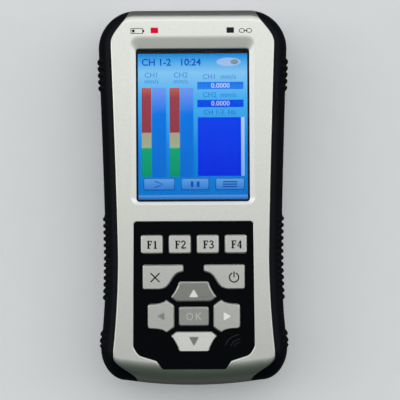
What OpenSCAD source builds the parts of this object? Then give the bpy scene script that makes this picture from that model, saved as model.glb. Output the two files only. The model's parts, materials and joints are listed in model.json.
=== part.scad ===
// Handheld two-channel vibration meter, lying on its back.
// +X is to the right, +Y towards the top end with the sockets, +Z out of the front.
// The origin is the middle of the rear face's plane. All sizes are in millimetres.

/* [Case] */
// Distance from the top end to the display's lit area
top_land = 22.49; // [21.5:0.01:26]
// Distance from the lit area down to the keypad inlay
inlay_land = 10.89; // [10:0.01:14]
// Distance from the inlay's lower end to the bottom end
foot_land = 9; // [8.5:0.1:13]
// Least width of the silver front beside the lit area, where it is widest
side_land = 13.18; // [12.5:0.01:16]
// Least width of the silver front beside the inlay, where it is widest
inlay_side_land = 10.4; // [9.6:0.1:13]
// How far each side draws in at the waist
waist_in = 3; // [2:0.1:3.6]
// How far each side draws in near the bottom end
foot_in = 0.4; // [0:0.1:1]
// Distance of the waist below the middle of the case
waist_drop = 29; // [15:1:40]
// Radius of the top corners
top_corner_r = 19; // [16:0.5:22]
// Width of a bottom corner's curve
foot_corner_w = 13; // [12:0.5:16]
// Length of a bottom corner's curve
foot_corner_l = 15.5; // [14:0.5:18]
// Bow of the bottom end
foot_bow = 2.5; // [1:0.5:4]
// Height of the main board above the joint between the two shells
seam_drop = 2.4; // [2:0.1:3]
// Room between the battery bay and the main board
board_room = 3.55; // [3:0.05:7]
// Thickness of the side walls
wall = 2.2; // [1.8:0.1:2.6]
// Thickness of the front wall
front_wall = 2; // [1.8:0.1:2.4]
// Thickness of the rear wall
rear_wall = 2.2; // [1.8:0.1:2.6]
// How far the front rolls in at the top end
top_roll = 7; // [6:0.5:8]
// How far the front rolls in at the bottom end
foot_roll = 12; // [10:0.5:13]
// How far the case's rear edge rolls in
rear_roll = 7; // [5:0.5:8]
// Height of the rear edge's roll
rear_roll_h = 9; // [8:0.5:10]

/* [Grips] */
// Width of a grip's band, seen from the front
grip_band = 6.9; // [6:0.1:7.5]
// Height of the grip's lower edge
grip_z = 6; // [5:0.5:8]
// Height at which a grip is widest
grip_mid_z = 20; // [16:1:24]
// How far the grips lie below the silver front
grip_drop = 1.2; // [0.8:0.1:2]
// Rib spacing
rib_pitch = 3.25; // [3:0.05:3.6]
// Rib width
rib_w = 1.65; // [1.2:0.05:2]
// Rib height
rib_h = 1; // [0.6:0.1:1.4]
// How far the silver face draws in at its top ears
ear_in = 9; // [7:0.5:11]
// Length over which the silver face narrows at the top
ear_len = 17.5; // [15:0.5:19]
// How far the silver face draws in at its bottom ears
heel_in = 11.6; // [10:0.1:13]
// Length over which the silver face narrows at the bottom
heel_len = 12.5; // [11:0.5:14]

/* [Display] */
// Width of the lit area
lit_w = 53.64; // [52:0.02:55]
// Height of the lit area
lit_h = 71.52; // [70:0.02:73]
// Dark border beside the lit area
border_w = 0.9; // [0.5:0.1:1.5]
// Dark border above the lit area
border_top = 2; // [1:0.1:2.5]
// Dark border below the lit area
border_foot = 1; // [0.5:0.1:1.5]
// Width of the sloped surround at the sides
slope_side = 2.7; // [2:0.1:3]
// Width of the sloped surround at the top
slope_top = 5.9; // [5:0.1:6.5]
// Width of the sloped surround at the bottom
slope_foot = 1.4; // [1:0.1:2]
// Depth of the sloped surround
slope_depth = 1.4; // [1:0.1:1.6]
// Lap of the window behind the front wall
window_lap = 2.6; // [2:0.1:3]
// Thickness of the window
window_t = 1; // [0.7:0.1:1.2]
// Thickness of the foam ring
gasket_t = 0.6; // [0.4:0.1:0.8]
// Width of the display tray beside the lit area
tray_side = 5.18; // [4.5:0.01:6]
// Length of the display tray below the window
tray_foot = 2.78; // [2:0.01:3]
// Thickness of the liquid crystal panel
glass_t = 1.7; // [1.4:0.1:2.2]
// Thickness of the backlight
light_t = 2.4; // [2:0.1:3]
// Sheet thickness of the display tray
tray_t = 0.5; // [0.3:0.1:0.6]

/* [Keypad] */
// How far each side of the inlay flares from its top to its lower corners
inlay_flare = 0.5; // [0:0.1:1]
// How far the inlay lies below the silver front
inlay_drop = 0.8; // [0.5:0.1:1]
// Thickness of the inlay
inlay_t = 2; // [1.8:0.1:2.2]
// Width of the hidden rim around the inlay
inlay_rim = 1.3; // [1:0.1:1.4]
// Width of a function key
fkey_w = 10.9; // [10:0.1:11.5]
// Height of a function key
fkey_h = 8.7; // [8:0.1:9]
// Gap between the function keys
fkey_gap = 2.8; // [2.4:0.1:3.6]
// Distance from the outer function keys to the inlay's side
fkey_side = 3.1; // [2.8:0.1:4]
// Distance from the inlay's top edge to the function keys
fkey_margin = 6.65; // [5:0.05:8]
// Width of a swept key
swept_w = 19.6; // [19:0.1:20]
// Height of a swept key
swept_h = 11.6; // [11:0.1:12]
// Distance of a swept key from the centre line
swept_gap = 5.2; // [4.6:0.1:6]
// Gap between the function keys and the swept keys
row_gap = 5.85; // [4:0.05:7]
// Distance from the swept keys' top edge to the upper arrow key
pad_gap = 7.9; // [7.5:0.1:10]
// Distance from the lower arrow key to the inlay's lower end
pad_margin = 8.8; // [8.5:0.1:11]
// Reach of the upper and lower key from the pad's middle
pad_reach_y = 17.1; // [16.5:0.1:17.3]
// Reach of the side keys from the pad's middle
pad_reach_x = 22.4; // [22:0.1:23]
// Width of the centre key
ok_w = 14.2; // [13.5:0.1:14.6]
// Height of the centre key
ok_h = 9; // [8.5:0.1:9.2]
// How far the keys stand above the silver front
key_rise = 0.5; // [0.2:0.1:1]
// Travel of a key
key_travel = 1; // [0.5:0.1:1.2]
// Gap between a key and its opening
key_gap = 0.25; // [0.15:0.05:0.3]
// Bevel of a key's upper edge
key_bevel = 0.5; // [0.3:0.1:0.6]
// Width of the flange that holds a key under the inlay
key_flange = 0.7; // [0.5:0.1:0.8]

/* [Battery and door] */
// Length of the battery pack
pack_l = 67; // [60:1:68]
// Width of the battery pack
pack_w = 40; // [36:0.5:44]
// Depth of the battery pack
pack_h = 18.4; // [17:0.1:18.6]
// How far the door's opening clears the pack at each side
door_clear = 1; // [0.5:0.1:1.5]
// Thickness of the battery door
door_t = 2; // [1.6:0.1:2.2]
// Distance from the battery bay to the bottom end
bay_end_in = 9.75; // [9:0.05:12]
// Gap around the door
door_gap = 0.25; // [0.15:0.05:0.35]

/* [Sockets] */
// Distance of a sensor socket from the centre line
sensor_x = 18.5; // [18:0.5:19]
// Radius of a sensor socket's opening
sensor_bore_r = 4; // [3.5:0.1:4.2]
// Depth of a sensor socket's opening
sensor_bore_l = 8; // [7:0.5:9]
// Radius of a sensor socket's barrel
sensor_body_r = 5.5; // [5.2:0.1:6]
// Radius of a sensor socket's flange
sensor_flange_r = 7; // [6.6:0.1:7.3]
// Distance of the data socket left of the centre line
usb_x = 4.8; // [4.4:0.1:5.2]
// Distance of the charge socket right of the centre line
charge_x = 6.2; // [5.8:0.1:6.6]
// Radius of the charge socket's mouth
charge_bore_r = 3; // [2.9:0.05:3.1]
// Depth of the charge socket's mouth
charge_bore_l = 4.5; // [4:0.1:5]

/* [Hidden] */

$fn = 48;
// Overrun of every cut past the face that it opens
cut = 0.6;
// Small end gap of pieces that move on each other
running_gap = 0.05;
// Radial gap of a screw in its hole
thread_gap = 0.05;

// Heights, from the door inwards to the silver front
bay_gap = 0.3;
bay_wall = 1.5;
rail_gap = 0.15;
door_flange_t = 1;
pack_z = rear_wall + rail_gap + door_flange_t + bay_gap;
bay_z = pack_z + pack_h + bay_gap;
board_t = 1.6;
board_z = bay_z + bay_wall + board_room;
board_top_z = board_z + board_t;
glass_air = 0.3;
tray_h = tray_t + light_t + glass_t + glass_air;
window_z = board_top_z + tray_h;
seat_z = window_z + window_t + gasket_t;
front_z = seat_z + front_wall;
seam_z = board_z - seam_drop;

// Lengths, from the top end to the bottom end
inlay_len = fkey_margin + fkey_h + row_gap + pad_gap + 2 * pad_reach_y + pad_margin;
case_len = top_land + lit_h + inlay_land + inlay_len + foot_land;
half_len = case_len / 2;
lit_y = half_len - top_land - lit_h / 2;
inlay_y = lit_y - lit_h / 2 - inlay_land;
fkey_y = inlay_y - fkey_margin - fkey_h / 2;
swept_top_y = fkey_y - fkey_h / 2 - row_gap;
pad_y = swept_top_y - pad_gap - pad_reach_y;
top_y = half_len - top_corner_r;
foot_y = -(half_len - foot_bow - foot_corner_l);
waist_y = -waist_drop;

// Widths, from the keypad and the display outwards
fkey_pitch = fkey_w + fkey_gap;
inlay_top_half_w = 2 * fkey_w + 3 * fkey_gap / 2 + fkey_side;
inlay_foot_half_w = inlay_top_half_w + inlay_flare;
swept_out = swept_gap + swept_w;
top_w = 2 * (grip_band + max(lit_w / 2 + side_land, inlay_foot_half_w + inlay_side_land));
waist_w = top_w - 2 * waist_in;
foot_w = top_w - 2 * foot_in;
ear_half_w = top_w / 2 - grip_band - ear_in;
heel_half_w = foot_w / 2 - grip_band - heel_in;

// Outline of the case
// Powers of the curves from the waist to the top and to the foot
flare_top_share = 1.25;
flare_foot_share = 1.9;
corner_steps = 9;
side_steps = 16;
bow_steps = 4;
rear_steps = 5;
front_steps = 7;
skin_inset = 0.4;
face_side_roll = 5;

function side_x(y) = y >= waist_y
    ? (waist_w + (top_w - waist_w) * pow((y - waist_y) / (top_y - waist_y), flare_top_share)) / 2
    : (waist_w + (foot_w - waist_w) * pow((waist_y - y) / (waist_y - foot_y), flare_foot_share)) / 2;

// Inset of a surface that rolls in from height a to height b
function roll(z, a, b, depth) =
    let (t = (z - a) / (b - a)) t <= 0 ? 0 : depth * (1 - sqrt(max(0, 1 - t * t)));

// Right half of the case's outline, from the top corner to the bottom's middle, with three insets
function half_ring(side_in, top_in, foot_in) =
    let (cx = top_w / 2 - top_corner_r, fx = foot_w / 2 - foot_corner_w)
    concat(
        [for (i = [0:corner_steps]) let (a = 90 - 90 * i / corner_steps)
            [cx + (top_corner_r - side_in) * cos(a), top_y + (top_corner_r - top_in) * sin(a)]],
        [for (i = [1:side_steps - 1]) let (y = top_y + (foot_y - top_y) * i / side_steps)
            [side_x(y) - side_in, y]],
        [for (i = [0:corner_steps]) let (a = 90 * i / corner_steps)
            [fx + (foot_corner_w - side_in) * cos(a), foot_y - (foot_corner_l - foot_in) * sin(a)]],
        [for (i = [1:bow_steps]) let (s = 1 - i / bow_steps)
            [fx * s, -half_len + foot_bow * s * s + foot_in]]);

function mirrored(right) =
    concat(right, [for (i = [len(right) - 2:-1:0]) [-right[i][0], right[i][1]]]);

// Heights of the rings; the first and last lie past the rear face and the front
function levels(z_front) = concat(
    [-cut],
    [for (i = [0:rear_steps]) rear_roll_h * (1 - cos(90 * i / rear_steps))],
    [for (i = [0:front_steps]) grip_mid_z + (z_front - grip_mid_z) * sin(90 * i / front_steps)],
    [z_front + cut]);

// Closed skin through rings at all levels; inset is measured from the outline at the sides
module skin(inset, z_front, side_roll) {
    zs = levels(z_front);
    rings = [for (z = zs)
        let (rear = roll(-z, -rear_roll_h, 0, rear_roll))
        mirrored(half_ring(rear + inset + roll(z, grip_mid_z, z_front, side_roll),
                           rear + roll(z, seam_z, z_front, top_roll),
                           rear + roll(z, seam_z, z_front, foot_roll)))];
    n = len(rings[0]);
    last = (len(zs) - 1) * n;
    points = [for (k = [0:len(zs) - 1]) for (p = rings[k]) [p[0], p[1], zs[k]]];
    sides = [for (k = [0:len(zs) - 2]) for (i = [0:n - 1])
        let (j = (i + 1) % n, lo = k * n, up = lo + n)
        each [[lo + j, up + j, up + i], [lo + j, up + i, lo + i]]];
    polyhedron(points, concat(sides, [[for (i = [0:n - 1]) last + i], [for (i = [n - 1:-1:0]) i]]));
}

// Half the silver face's width
ear_y = half_len - ear_len;
heel_y = -half_len + heel_len + foot_bow;
ogee_steps = 8;
face_steps = 12;

function ease(t) = (1 - cos(180 * min(1, t))) / 2;

function face_x(y) =
    let (side = side_x(min(top_y, max(foot_y, y))) - grip_band)
    y > ear_y ? side - ear_in * ease((y - ear_y) / ear_len)
        : y < heel_y ? side - heel_in * ease((heel_y - y) / heel_len)
        : side;

function face_stations() = concat(
    [for (i = [0:ogee_steps]) heel_y - heel_len + heel_len * i / ogee_steps],
    [for (i = [1:face_steps - 1]) heel_y + (ear_y - heel_y) * i / face_steps],
    [for (i = [0:ogee_steps]) ear_y + ear_len * i / ogee_steps]);

// Outline of the silver face, inset by d at its sides, between two ends
function face_points(d, y0, y1) =
    let (ys = concat([y0], [for (y = face_stations()) if (y > y0 + cut && y < y1 - cut) y], [y1]))
    concat([for (y = ys) [face_x(y) - d, y]],
           [for (i = [len(ys) - 1:-1:0]) [d - face_x(ys[i]), ys[i]]]);

module face_prism(d, y0, y1, z0, z1) {
    translate([0, 0, z0]) linear_extrude(z1 - z0) polygon(face_points(d, y0, y1));
}

module box(x0, x1, y0, y1, z0, z1) {
    translate([x0, y0, z0]) cube([x1 - x0, y1 - y0, z1 - z0]);
}

module plate(w, h, r) {
    hull() for (x = [-1, 1], y = [-1, 1])
        translate([x * (w / 2 - r), y * (h / 2 - r)]) circle(r);
}

module both_sides() {
    children();
    mirror([1, 0, 0]) children();
}

// Screws of the case
screw_r = 1.4;
screw_head_r = 2.7;
screw_head_h = 2.4;
screw_seat_z = 14;
screw_tip_gap = 2.5;
screw_len = seat_z - screw_tip_gap - screw_seat_z;
screw_gap = 0.3;
front_boss_r = 3.2;
rear_boss_r = 4.2;
top_screw_side = 0.5;
top_screw_end = 12.5;
foot_screw_end = 21;
top_screw_x = ear_half_w - top_screw_side;
top_screw_y = half_len - top_screw_end;
foot_screw_x = inlay_foot_half_w + inlay_rim + front_boss_r;
foot_screw_y = -(half_len - foot_screw_end);
SCREWS = [[top_screw_x, top_screw_y], [foot_screw_x, foot_screw_y]];

// Display, from the front inwards
aperture_w = lit_w + 2 * border_w;
aperture_top = lit_y + lit_h / 2 + border_top;
aperture_foot = lit_y - lit_h / 2 - border_foot;
aperture_h = aperture_top - aperture_foot;
aperture_y = (aperture_top + aperture_foot) / 2;
aperture_r = 0.8;
slope_r = 2;
slope_skin = 0.02;
window_w = aperture_w + 2 * window_lap;
window_h = aperture_h + 2 * window_lap;
tray_w = lit_w + 2 * tray_side;
tray_l = window_h + tray_t + tray_foot;
tray_top = aperture_top + window_lap + tray_t;
tray_foot_y = tray_top - tray_l;
glass_gap = 0.1;

// Screws of the main board and the pillars that they enter
pillar_r = 2.2;
pillar_gap = 0.7;
pillar_land = 1.41;
pillar_end = 10.5;
tapping_r = 0.9;
tapping_head_r = 1.6;
tapping_head_h = 1.3;
tapping_len = 5.4;
pillar_top_x = 9;
pillar_mid_x = inlay_top_half_w + inlay_rim + pillar_gap + pillar_r;
pillar_mid_y = tray_foot_y - pillar_land - pillar_r;
pillar_foot_in = 4;
pillar_foot_x = heel_half_w - pillar_foot_in;
pillar_foot_y = -(half_len - pillar_end);
PILLARS = [[pillar_top_x, top_screw_y], [pillar_mid_x, pillar_mid_y], [pillar_foot_x, pillar_foot_y]];

// Indicator windows
lamp_x = 18.5;
lamp_end = 11.5;
lamp_y = half_len - lamp_end;
lamp_w = 3.6;
lamp_h = 2.5;
lamp_sink = 0.15;
lamp_flange = 0.8;
lamp_rise = 1.5;
pipe_gap = 0.3;

// Keypad inlay
inlay_z = front_z - inlay_drop - inlay_t;
inlay_corner_share = 0.924;
inlay_slant_share = 0.618;
inlay_step_share = 0.52;
INLAY_SHARES = [0.846, 0.902, 0.942, 1];

inlay_corner_r = 1.2;

function inlay_points() =
    let (top = inlay_y, len = inlay_len, fw = inlay_foot_half_w, r = inlay_corner_r,
         right = [[inlay_top_half_w - r, top], [inlay_top_half_w, top - r],
                  [fw, top - len * INLAY_SHARES[0]],
                  [fw * inlay_corner_share, top - len * INLAY_SHARES[1]],
                  [fw * inlay_slant_share, top - len * INLAY_SHARES[2]],
                  [fw * inlay_step_share, top - len]])
    concat(right, [for (i = [len(right) - 1:-1:0]) [-right[i][0], right[i][1]]]);

// Keys
key_z = inlay_z - running_gap;
key_top_z = front_z + key_rise;
flange_t = 1;
stem_z = key_z - flange_t;
key_corner_r = 0.8;
arc_steps = 4;
curve_steps = 8;

function round_rect(w, h, r) = [for (q = [0:3]) for (i = [0:arc_steps])
    let (a = 90 * q + 90 * i / arc_steps, sx = (q == 0 || q == 3) ? 1 : -1, sy = q < 2 ? 1 : -1)
    [sx * (w / 2 - r) + r * cos(a), sy * (h / 2 - r) + r * sin(a)]];

function bezier3(a, b, c, n) = [for (i = [0:n]) let (t = i / n)
    a * pow(1 - t, 2) + b * 2 * t * (1 - t) + c * t * t];

function bezier4(a, b, c, d, n) = [for (i = [0:n]) let (t = i / n)
    a * pow(1 - t, 3) + b * 3 * t * pow(1 - t, 2) + c * 3 * t * t * (1 - t) + d * pow(t, 3)];

// Swept key, its outer upper corner at -w/2, h/2; the inner lower corner is swept away
SWEEP_SHARES = [[1, 0.74], [0.65, 0.7], [0.74, 0], [0.4, 0]];
function swept_points() =
    let (w = swept_w, h = swept_h, r = key_corner_r,
         at = [for (s = SWEEP_SHARES) [w * (s[0] - 0.5), h * (s[1] - 0.5)]])
    concat([[-w / 2, -h / 2 + r], [-w / 2, h / 2 - r], [-w / 2 + r, h / 2],
            [w / 2 - r, h / 2], [w / 2, h / 2 - r]],
           bezier4(at[0], at[1], at[2], at[3], curve_steps), [[-w / 2 + r, -h / 2]]);

// Arrow key along +Y from the pad's middle: inner edge, flared tips and outer end
ARROW_Y_SHARES = [[0.445, 0.503], [0.567, 0.65], [0.65, 0.465], [1, 0.445]];
ARROW_X_SHARES = [[0.437, 0.235], [0.6, 0.35], [0.67, 0.268], [1, 0.262]];

function arrow_points(reach, shares) =
    let (p = [for (s = shares) [reach * s[1], reach * s[0]]], r = key_corner_r,
         flare = bezier3(p[1], p[2], [p[3][0], p[3][1] - r], curve_steps),
         right = concat([p[0]], flare, [[p[3][0] - r, p[3][1]]]))
    concat(right, [for (i = [len(right) - 1:-1:0]) [-right[i][0], right[i][1]]]);

function fkey_x(i) = (i - 1.5) * fkey_pitch;

swept_x = swept_out - swept_w / 2;
swept_y = swept_top_y - swept_h / 2;
swept_dome_share = 0.3;
dome_y_share = 0.74;
dome_x_share = 0.72;

KEYS = [[fkey_x(0), fkey_y], [fkey_x(1), fkey_y], [fkey_x(2), fkey_y], [fkey_x(3), fkey_y],
        [-swept_out + swept_w * swept_dome_share, swept_y],
        [swept_out - swept_w * swept_dome_share, swept_y],
        [0, pad_y + pad_reach_y * dome_y_share], [0, pad_y - pad_reach_y * dome_y_share],
        [-pad_reach_x * dome_x_share, pad_y], [pad_reach_x * dome_x_share, pad_y], [0, pad_y]];

// Outline of each key in its place, grown by d
module key_outline(i, d) {
    if (i < 4) translate([fkey_x(i), fkey_y])
        offset(delta = d) polygon(round_rect(fkey_w, fkey_h, key_corner_r));
    if (i == 4) translate([-swept_x, swept_y]) offset(delta = d) polygon(swept_points());
    if (i == 5) translate([swept_x, swept_y]) mirror([1, 0]) offset(delta = d) polygon(swept_points());
    if (i == 6) translate([0, pad_y]) offset(delta = d) polygon(arrow_points(pad_reach_y, ARROW_Y_SHARES));
    if (i == 7) translate([0, pad_y]) rotate(180)
        offset(delta = d) polygon(arrow_points(pad_reach_y, ARROW_Y_SHARES));
    if (i == 8) translate([0, pad_y]) rotate(90)
        offset(delta = d) polygon(arrow_points(pad_reach_x, ARROW_X_SHARES));
    if (i == 9) translate([0, pad_y]) rotate(-90)
        offset(delta = d) polygon(arrow_points(pad_reach_x, ARROW_X_SHARES));
    if (i == 10) translate([0, pad_y]) offset(delta = d) polygon(round_rect(ok_w, ok_h, key_corner_r));
}

bevel_steps = 2;
module key(i) {
    color("silver") {
        translate([0, 0, stem_z]) linear_extrude(flange_t) key_outline(i, key_flange);
        translate([0, 0, stem_z + flange_t / 2])
            linear_extrude(key_top_z - key_bevel - stem_z - flange_t / 2) key_outline(i, 0);
        for (k = [1:bevel_steps])
            translate([0, 0, key_top_z - key_bevel - cut]) linear_extrude(cut + key_bevel * k / bevel_steps)
                key_outline(i, -key_bevel * (k - 0.5) / bevel_steps);
    }
}

// Domes under the keys, each with a pill that meets its contact at the end of the key's travel
mat_t = 0.8;
dome_foot_r = 3.6;
dome_head_r = 2.3;
dome_wall = 0.5;
dome_cap_t = 1.2;
pill_r = 1.2;
contact_r = 2;
contact_t = 0.1;
mat_in = 1.1;
mat_over = 1;
mat_foot_over = 2;
mat_half_w = inlay_top_half_w - mat_in;
mat_top_y = fkey_y + fkey_h / 2 + mat_over;
mat_foot_y = pad_y - pad_reach_y - mat_foot_over;

module key_domes() {
    color("lightgrey") for (k = KEYS) translate([k[0], k[1], board_top_z]) difference() {
        union() {
            cylinder(r = dome_foot_r, h = mat_t);
            translate([0, 0, mat_t]) cylinder(r1 = dome_foot_r, r2 = dome_head_r,
                                              h = stem_z - running_gap - board_top_z - mat_t);
        }
        difference() {
            translate([0, 0, -cut])
                cylinder(r = dome_head_r - dome_wall, h = stem_z - board_top_z - dome_cap_t + cut);
            translate([0, 0, contact_t + key_travel]) cylinder(r = pill_r, h = stem_z - board_top_z);
        }
    }
}

module keypad_mat() {
    color("gainsboro") difference() {
        box(-mat_half_w, mat_half_w, mat_foot_y, mat_top_y, board_top_z, board_top_z + mat_t);
        for (k = KEYS) translate([k[0], k[1], board_top_z - cut])
            cylinder(r = dome_foot_r + running_gap, h = mat_t + 2 * cut);
    }
}

module key_contacts() {
    color("gold") for (k = KEYS) translate([k[0], k[1], board_top_z])
        cylinder(r = min(contact_r, dome_head_r - dome_wall - contact_t), h = contact_t);
}

module keypad_panel() {
    color("black") difference() {
        union() {
            translate([0, 0, inlay_z]) linear_extrude(inlay_t) polygon(inlay_points());
            translate([0, 0, inlay_z]) linear_extrude(seat_z - inlay_z)
                offset(delta = inlay_rim) polygon(inlay_points());
        }
        translate([0, 0, inlay_z - cut]) linear_extrude(inlay_t + 2 * cut)
            for (i = [0:len(KEYS) - 1]) key_outline(i, key_gap);
    }
}

// Shells
shell_end_in = 6;
shell_foot_in = 7.2;
rear_end_in = 5;

module sloped_surround() {
    hull() {
        translate([0, aperture_y + (slope_top - slope_foot) / 2, front_z])
            linear_extrude(slope_skin)
                plate(aperture_w + 2 * slope_side, aperture_h + slope_top + slope_foot, slope_r);
        translate([0, aperture_y, front_z - slope_depth])
            linear_extrude(slope_skin) plate(aperture_w, aperture_h, aperture_r);
    }
}

module front_shell() {
    color("silver") difference() {
        intersection() {
            skin(skin_inset, front_z, face_side_roll);
            face_prism(0, -half_len - cut, half_len + cut, seam_z, front_z);
            difference() {
                box(-top_w, top_w, -case_len, case_len, seam_z, front_z + cut);
                difference() {
                    face_prism(wall, -(half_len - shell_foot_in), half_len - shell_end_in,
                               seam_z - cut, seat_z);
                    both_sides() {
                        for (s = SCREWS) translate([s[0], s[1], seam_z - 2 * cut])
                            cylinder(r = front_boss_r, h = seat_z - seam_z + 3 * cut);
                        for (p = PILLARS) translate([p[0], p[1], board_top_z])
                            cylinder(r = pillar_r, h = seat_z - board_top_z + cut);
                    }
                }
            }
        }
        translate([0, aperture_y, seat_z - cut]) linear_extrude(front_wall + 2 * cut)
            plate(aperture_w, aperture_h, aperture_r);
        sloped_surround();
        translate([0, 0, seat_z - cut]) linear_extrude(front_wall + 2 * cut) polygon(inlay_points());
        both_sides() {
            box(lamp_x - lamp_w / 2, lamp_x + lamp_w / 2, lamp_y - lamp_h / 2, lamp_y + lamp_h / 2,
                seat_z - cut, front_z + cut);
            for (s = SCREWS) translate([s[0], s[1], seam_z - cut])
                cylinder(r = screw_r + thread_gap, h = screw_seat_z + screw_len - seam_z + cut);
            for (p = PILLARS) translate([p[0], p[1], board_top_z - cut])
                cylinder(r = tapping_r + thread_gap, h = board_z + tapping_len - board_top_z + cut);
        }
    }
}

// Battery bay
// Distance that the contact blades bridge between the bay's wall and the pack
blade_reach = 1.4;
door_face_z = 0.4;
door_top_z = door_face_z + door_t;
door_w = pack_w + 2 * door_clear;
flange_lap = 1.3;
ledge_w = 1.2;
bay_half_w = pack_w / 2 + bay_gap;
bay_out_half_w = door_w / 2 + door_gap + flange_lap + ledge_w;
bay_foot_y = -(half_len - bay_end_in);
bay_top_y = bay_foot_y + pack_l + bay_gap + blade_reach;
door_y = bay_top_y + running_gap + bay_wall / 3;
contact_half_w = 8;
contact_rise = 8.35;
contact_z = pack_z + contact_rise;
blade_h = 6;
door_end_y = -(half_len - rear_end_in);
door_end_z = 9;
thumb_ribs = 5;
thumb_in = 10;
thumb_y = door_y - thumb_in;
thumb_w = 16;
thumb_pitch = 2.2;
thumb_h = 0.3;
thumb_t = 1;

// Socket panel
flange_land = 0.5;
panel_lip = 1.5;
panel_half_w = sensor_x + sensor_flange_r + flange_land;
panel_half_h = sensor_flange_r + flange_land;
panel_z = seam_z - panel_half_h - panel_lip;
panel_wall = 2.6;
panel_sink = 1.2;
panel_flange = 2;
panel_flange_t = 1.5;
panel_in_y = half_len - panel_wall;
panel_face_y = half_len - panel_sink;
label_w = 50;
label_h = 26;
label_gap = 37;
label_y = door_y + label_gap + label_h / 2;
label_sink = 0.4;

module rear_shell() {
    color([0.12, 0.13, 0.14]) difference() {
        intersection() {
            skin(skin_inset, front_z, face_side_roll);
            union() {
                face_prism(0, -half_len - cut, half_len + cut, 0, seam_z);
                box(-top_w, top_w, -case_len, case_len, 0, grip_z);
            }
        }
        // Inner space, with the bay's walls and the bosses left standing
        difference() {
            face_prism(wall, door_end_y, half_len - rear_end_in, rear_wall, seam_z + cut);
            box(-bay_out_half_w, bay_out_half_w, bay_foot_y - bay_wall, bay_top_y + bay_wall,
                0, bay_z + bay_wall);
            both_sides() for (s = SCREWS) translate([s[0], s[1], 0]) cylinder(r = rear_boss_r, h = seam_z);
        }
        box(-bay_half_w, bay_half_w, bay_foot_y, bay_top_y, rear_wall, bay_z);
        // Window of the battery contacts
        box(-contact_half_w, contact_half_w, bay_top_y - cut, bay_top_y + bay_wall + cut,
            contact_z, contact_z + blade_h);
        // Seat of the door, its rails and its end
        box(-door_w / 2 - door_gap, door_w / 2 + door_gap, -half_len - cut, door_y + door_gap,
            -cut, pack_z - bay_gap + rail_gap);
        box(-door_w / 2 - door_gap - flange_lap, door_w / 2 + door_gap + flange_lap,
            door_end_y - cut, door_y + door_gap, rear_wall, pack_z - bay_gap + rail_gap);
        box(-door_w / 2 - door_gap, door_w / 2 + door_gap, -half_len - cut, door_end_y + door_gap,
            -cut, door_end_z + door_gap);
        box(-door_w / 2 - door_gap - flange_lap, door_w / 2 + door_gap + flange_lap,
            -half_len - cut, door_end_y, rear_wall, pack_z - bay_gap + rail_gap);
        // Room behind the socket panel and its opening
        box(-panel_half_w - panel_flange, panel_half_w + panel_flange,
            half_len - rear_end_in - cut, panel_in_y, panel_z - panel_half_h - panel_lip, seam_z + cut);
        box(-panel_half_w, panel_half_w, panel_in_y - cut, half_len + cut,
            panel_z - panel_half_h, panel_z + panel_half_h);
        both_sides() for (s = SCREWS) {
            translate([s[0], s[1], -cut]) cylinder(r = screw_head_r + screw_gap, h = screw_seat_z + cut);
            translate([s[0], s[1], 0]) cylinder(r = screw_r + screw_gap, h = seam_z + cut);
        }
        // Bare recess for a rating plate
        box(-label_w / 2, label_w / 2, label_y - label_h / 2, label_y + label_h / 2, -cut, label_sink);
        case_seal_ring();
    }
}

seal_t = 0.7;
seal_in = 0.7;
seal_w = 0.8;
module case_seal_ring() {
    difference() {
        face_prism(seal_in, -(half_len - foot_bow - seal_in), half_len - seal_in, seam_z - seal_t, seam_z);
        face_prism(seal_in + seal_w, -(half_len - foot_bow - seal_in - seal_w),
                   half_len - seal_in - seal_w, seam_z - seal_t - cut, seam_z + cut);
    }
}

module case_seal() {
    color("dimgrey") case_seal_ring();
}

// Grips
grip_roll = 8;
rib_low = 3;
rib_high = 5.3;
rib_top_end = 25.5;
rib_foot_end = 25.1;
rib_mid_rise = 18.3;
rib_low_z = grip_z + rib_low;
rib_high_z = front_z - grip_drop - rib_high;
rib_top_y = half_len - rib_top_end;
rib_mid_y = waist_y + rib_mid_rise;
rib_foot_y = -(half_len - rib_foot_end);
RIB_GROUPS = [[rib_top_y, 5], [rib_mid_y, 13], [rib_foot_y, 3]];

module side_grip() {
    color([0.07, 0.07, 0.08]) difference() {
        union() {
            intersection() {
                skin(0, front_z - grip_drop, grip_roll);
                box(0, top_w, -case_len, case_len, grip_z, front_z - grip_drop);
            }
            intersection() {
                skin(-rib_h, front_z - grip_drop, grip_roll);
                for (g = RIB_GROUPS) for (i = [0:g[1] - 1])
                    box(waist_w / 2 - grip_band, top_w, g[0] - i * rib_pitch - rib_w / 2,
                        g[0] - i * rib_pitch + rib_w / 2, rib_low_z, rib_high_z);
            }
        }
        face_prism(0, -half_len - cut, half_len + cut, 0, front_z);
    }
}

module side_grip_right() { side_grip(); }
module side_grip_left() { mirror([1, 0, 0]) side_grip(); }

// Display
module display_window() {
    color("lightblue", 0.35) translate([0, aperture_y, window_z]) linear_extrude(window_t)
        plate(window_w, window_h, aperture_r);
}

module window_gasket() {
    color("black") difference() {
        translate([0, aperture_y, window_z + window_t]) linear_extrude(gasket_t)
            plate(window_w, window_h, aperture_r);
        translate([0, aperture_y, window_z]) linear_extrude(window_t + gasket_t + cut)
            plate(aperture_w, aperture_h, aperture_r);
    }
}

module tray_box(inset, z0, z1) {
    box(-tray_w / 2 + inset, tray_w / 2 - inset, tray_foot_y + inset, tray_top - inset, z0, z1);
}

cable_w = 20;
cable_t = 0.3;
cable_slot_h = 1.2;
module display_frame() {
    color("darkgrey") difference() {
        tray_box(0, board_top_z, window_z);
        tray_box(tray_t, board_top_z + tray_t, window_z + cut);
        box(-cable_w / 2 - cable_t, cable_w / 2 + cable_t, tray_foot_y - cut, tray_foot_y + 2 * tray_t,
            board_top_z + tray_t + light_t - cable_t, board_top_z + tray_t + light_t + cable_slot_h);
    }
}

module backlight() {
    color("white") tray_box(tray_t + glass_gap, board_top_z + tray_t, board_top_z + tray_t + light_t);
}

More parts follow.
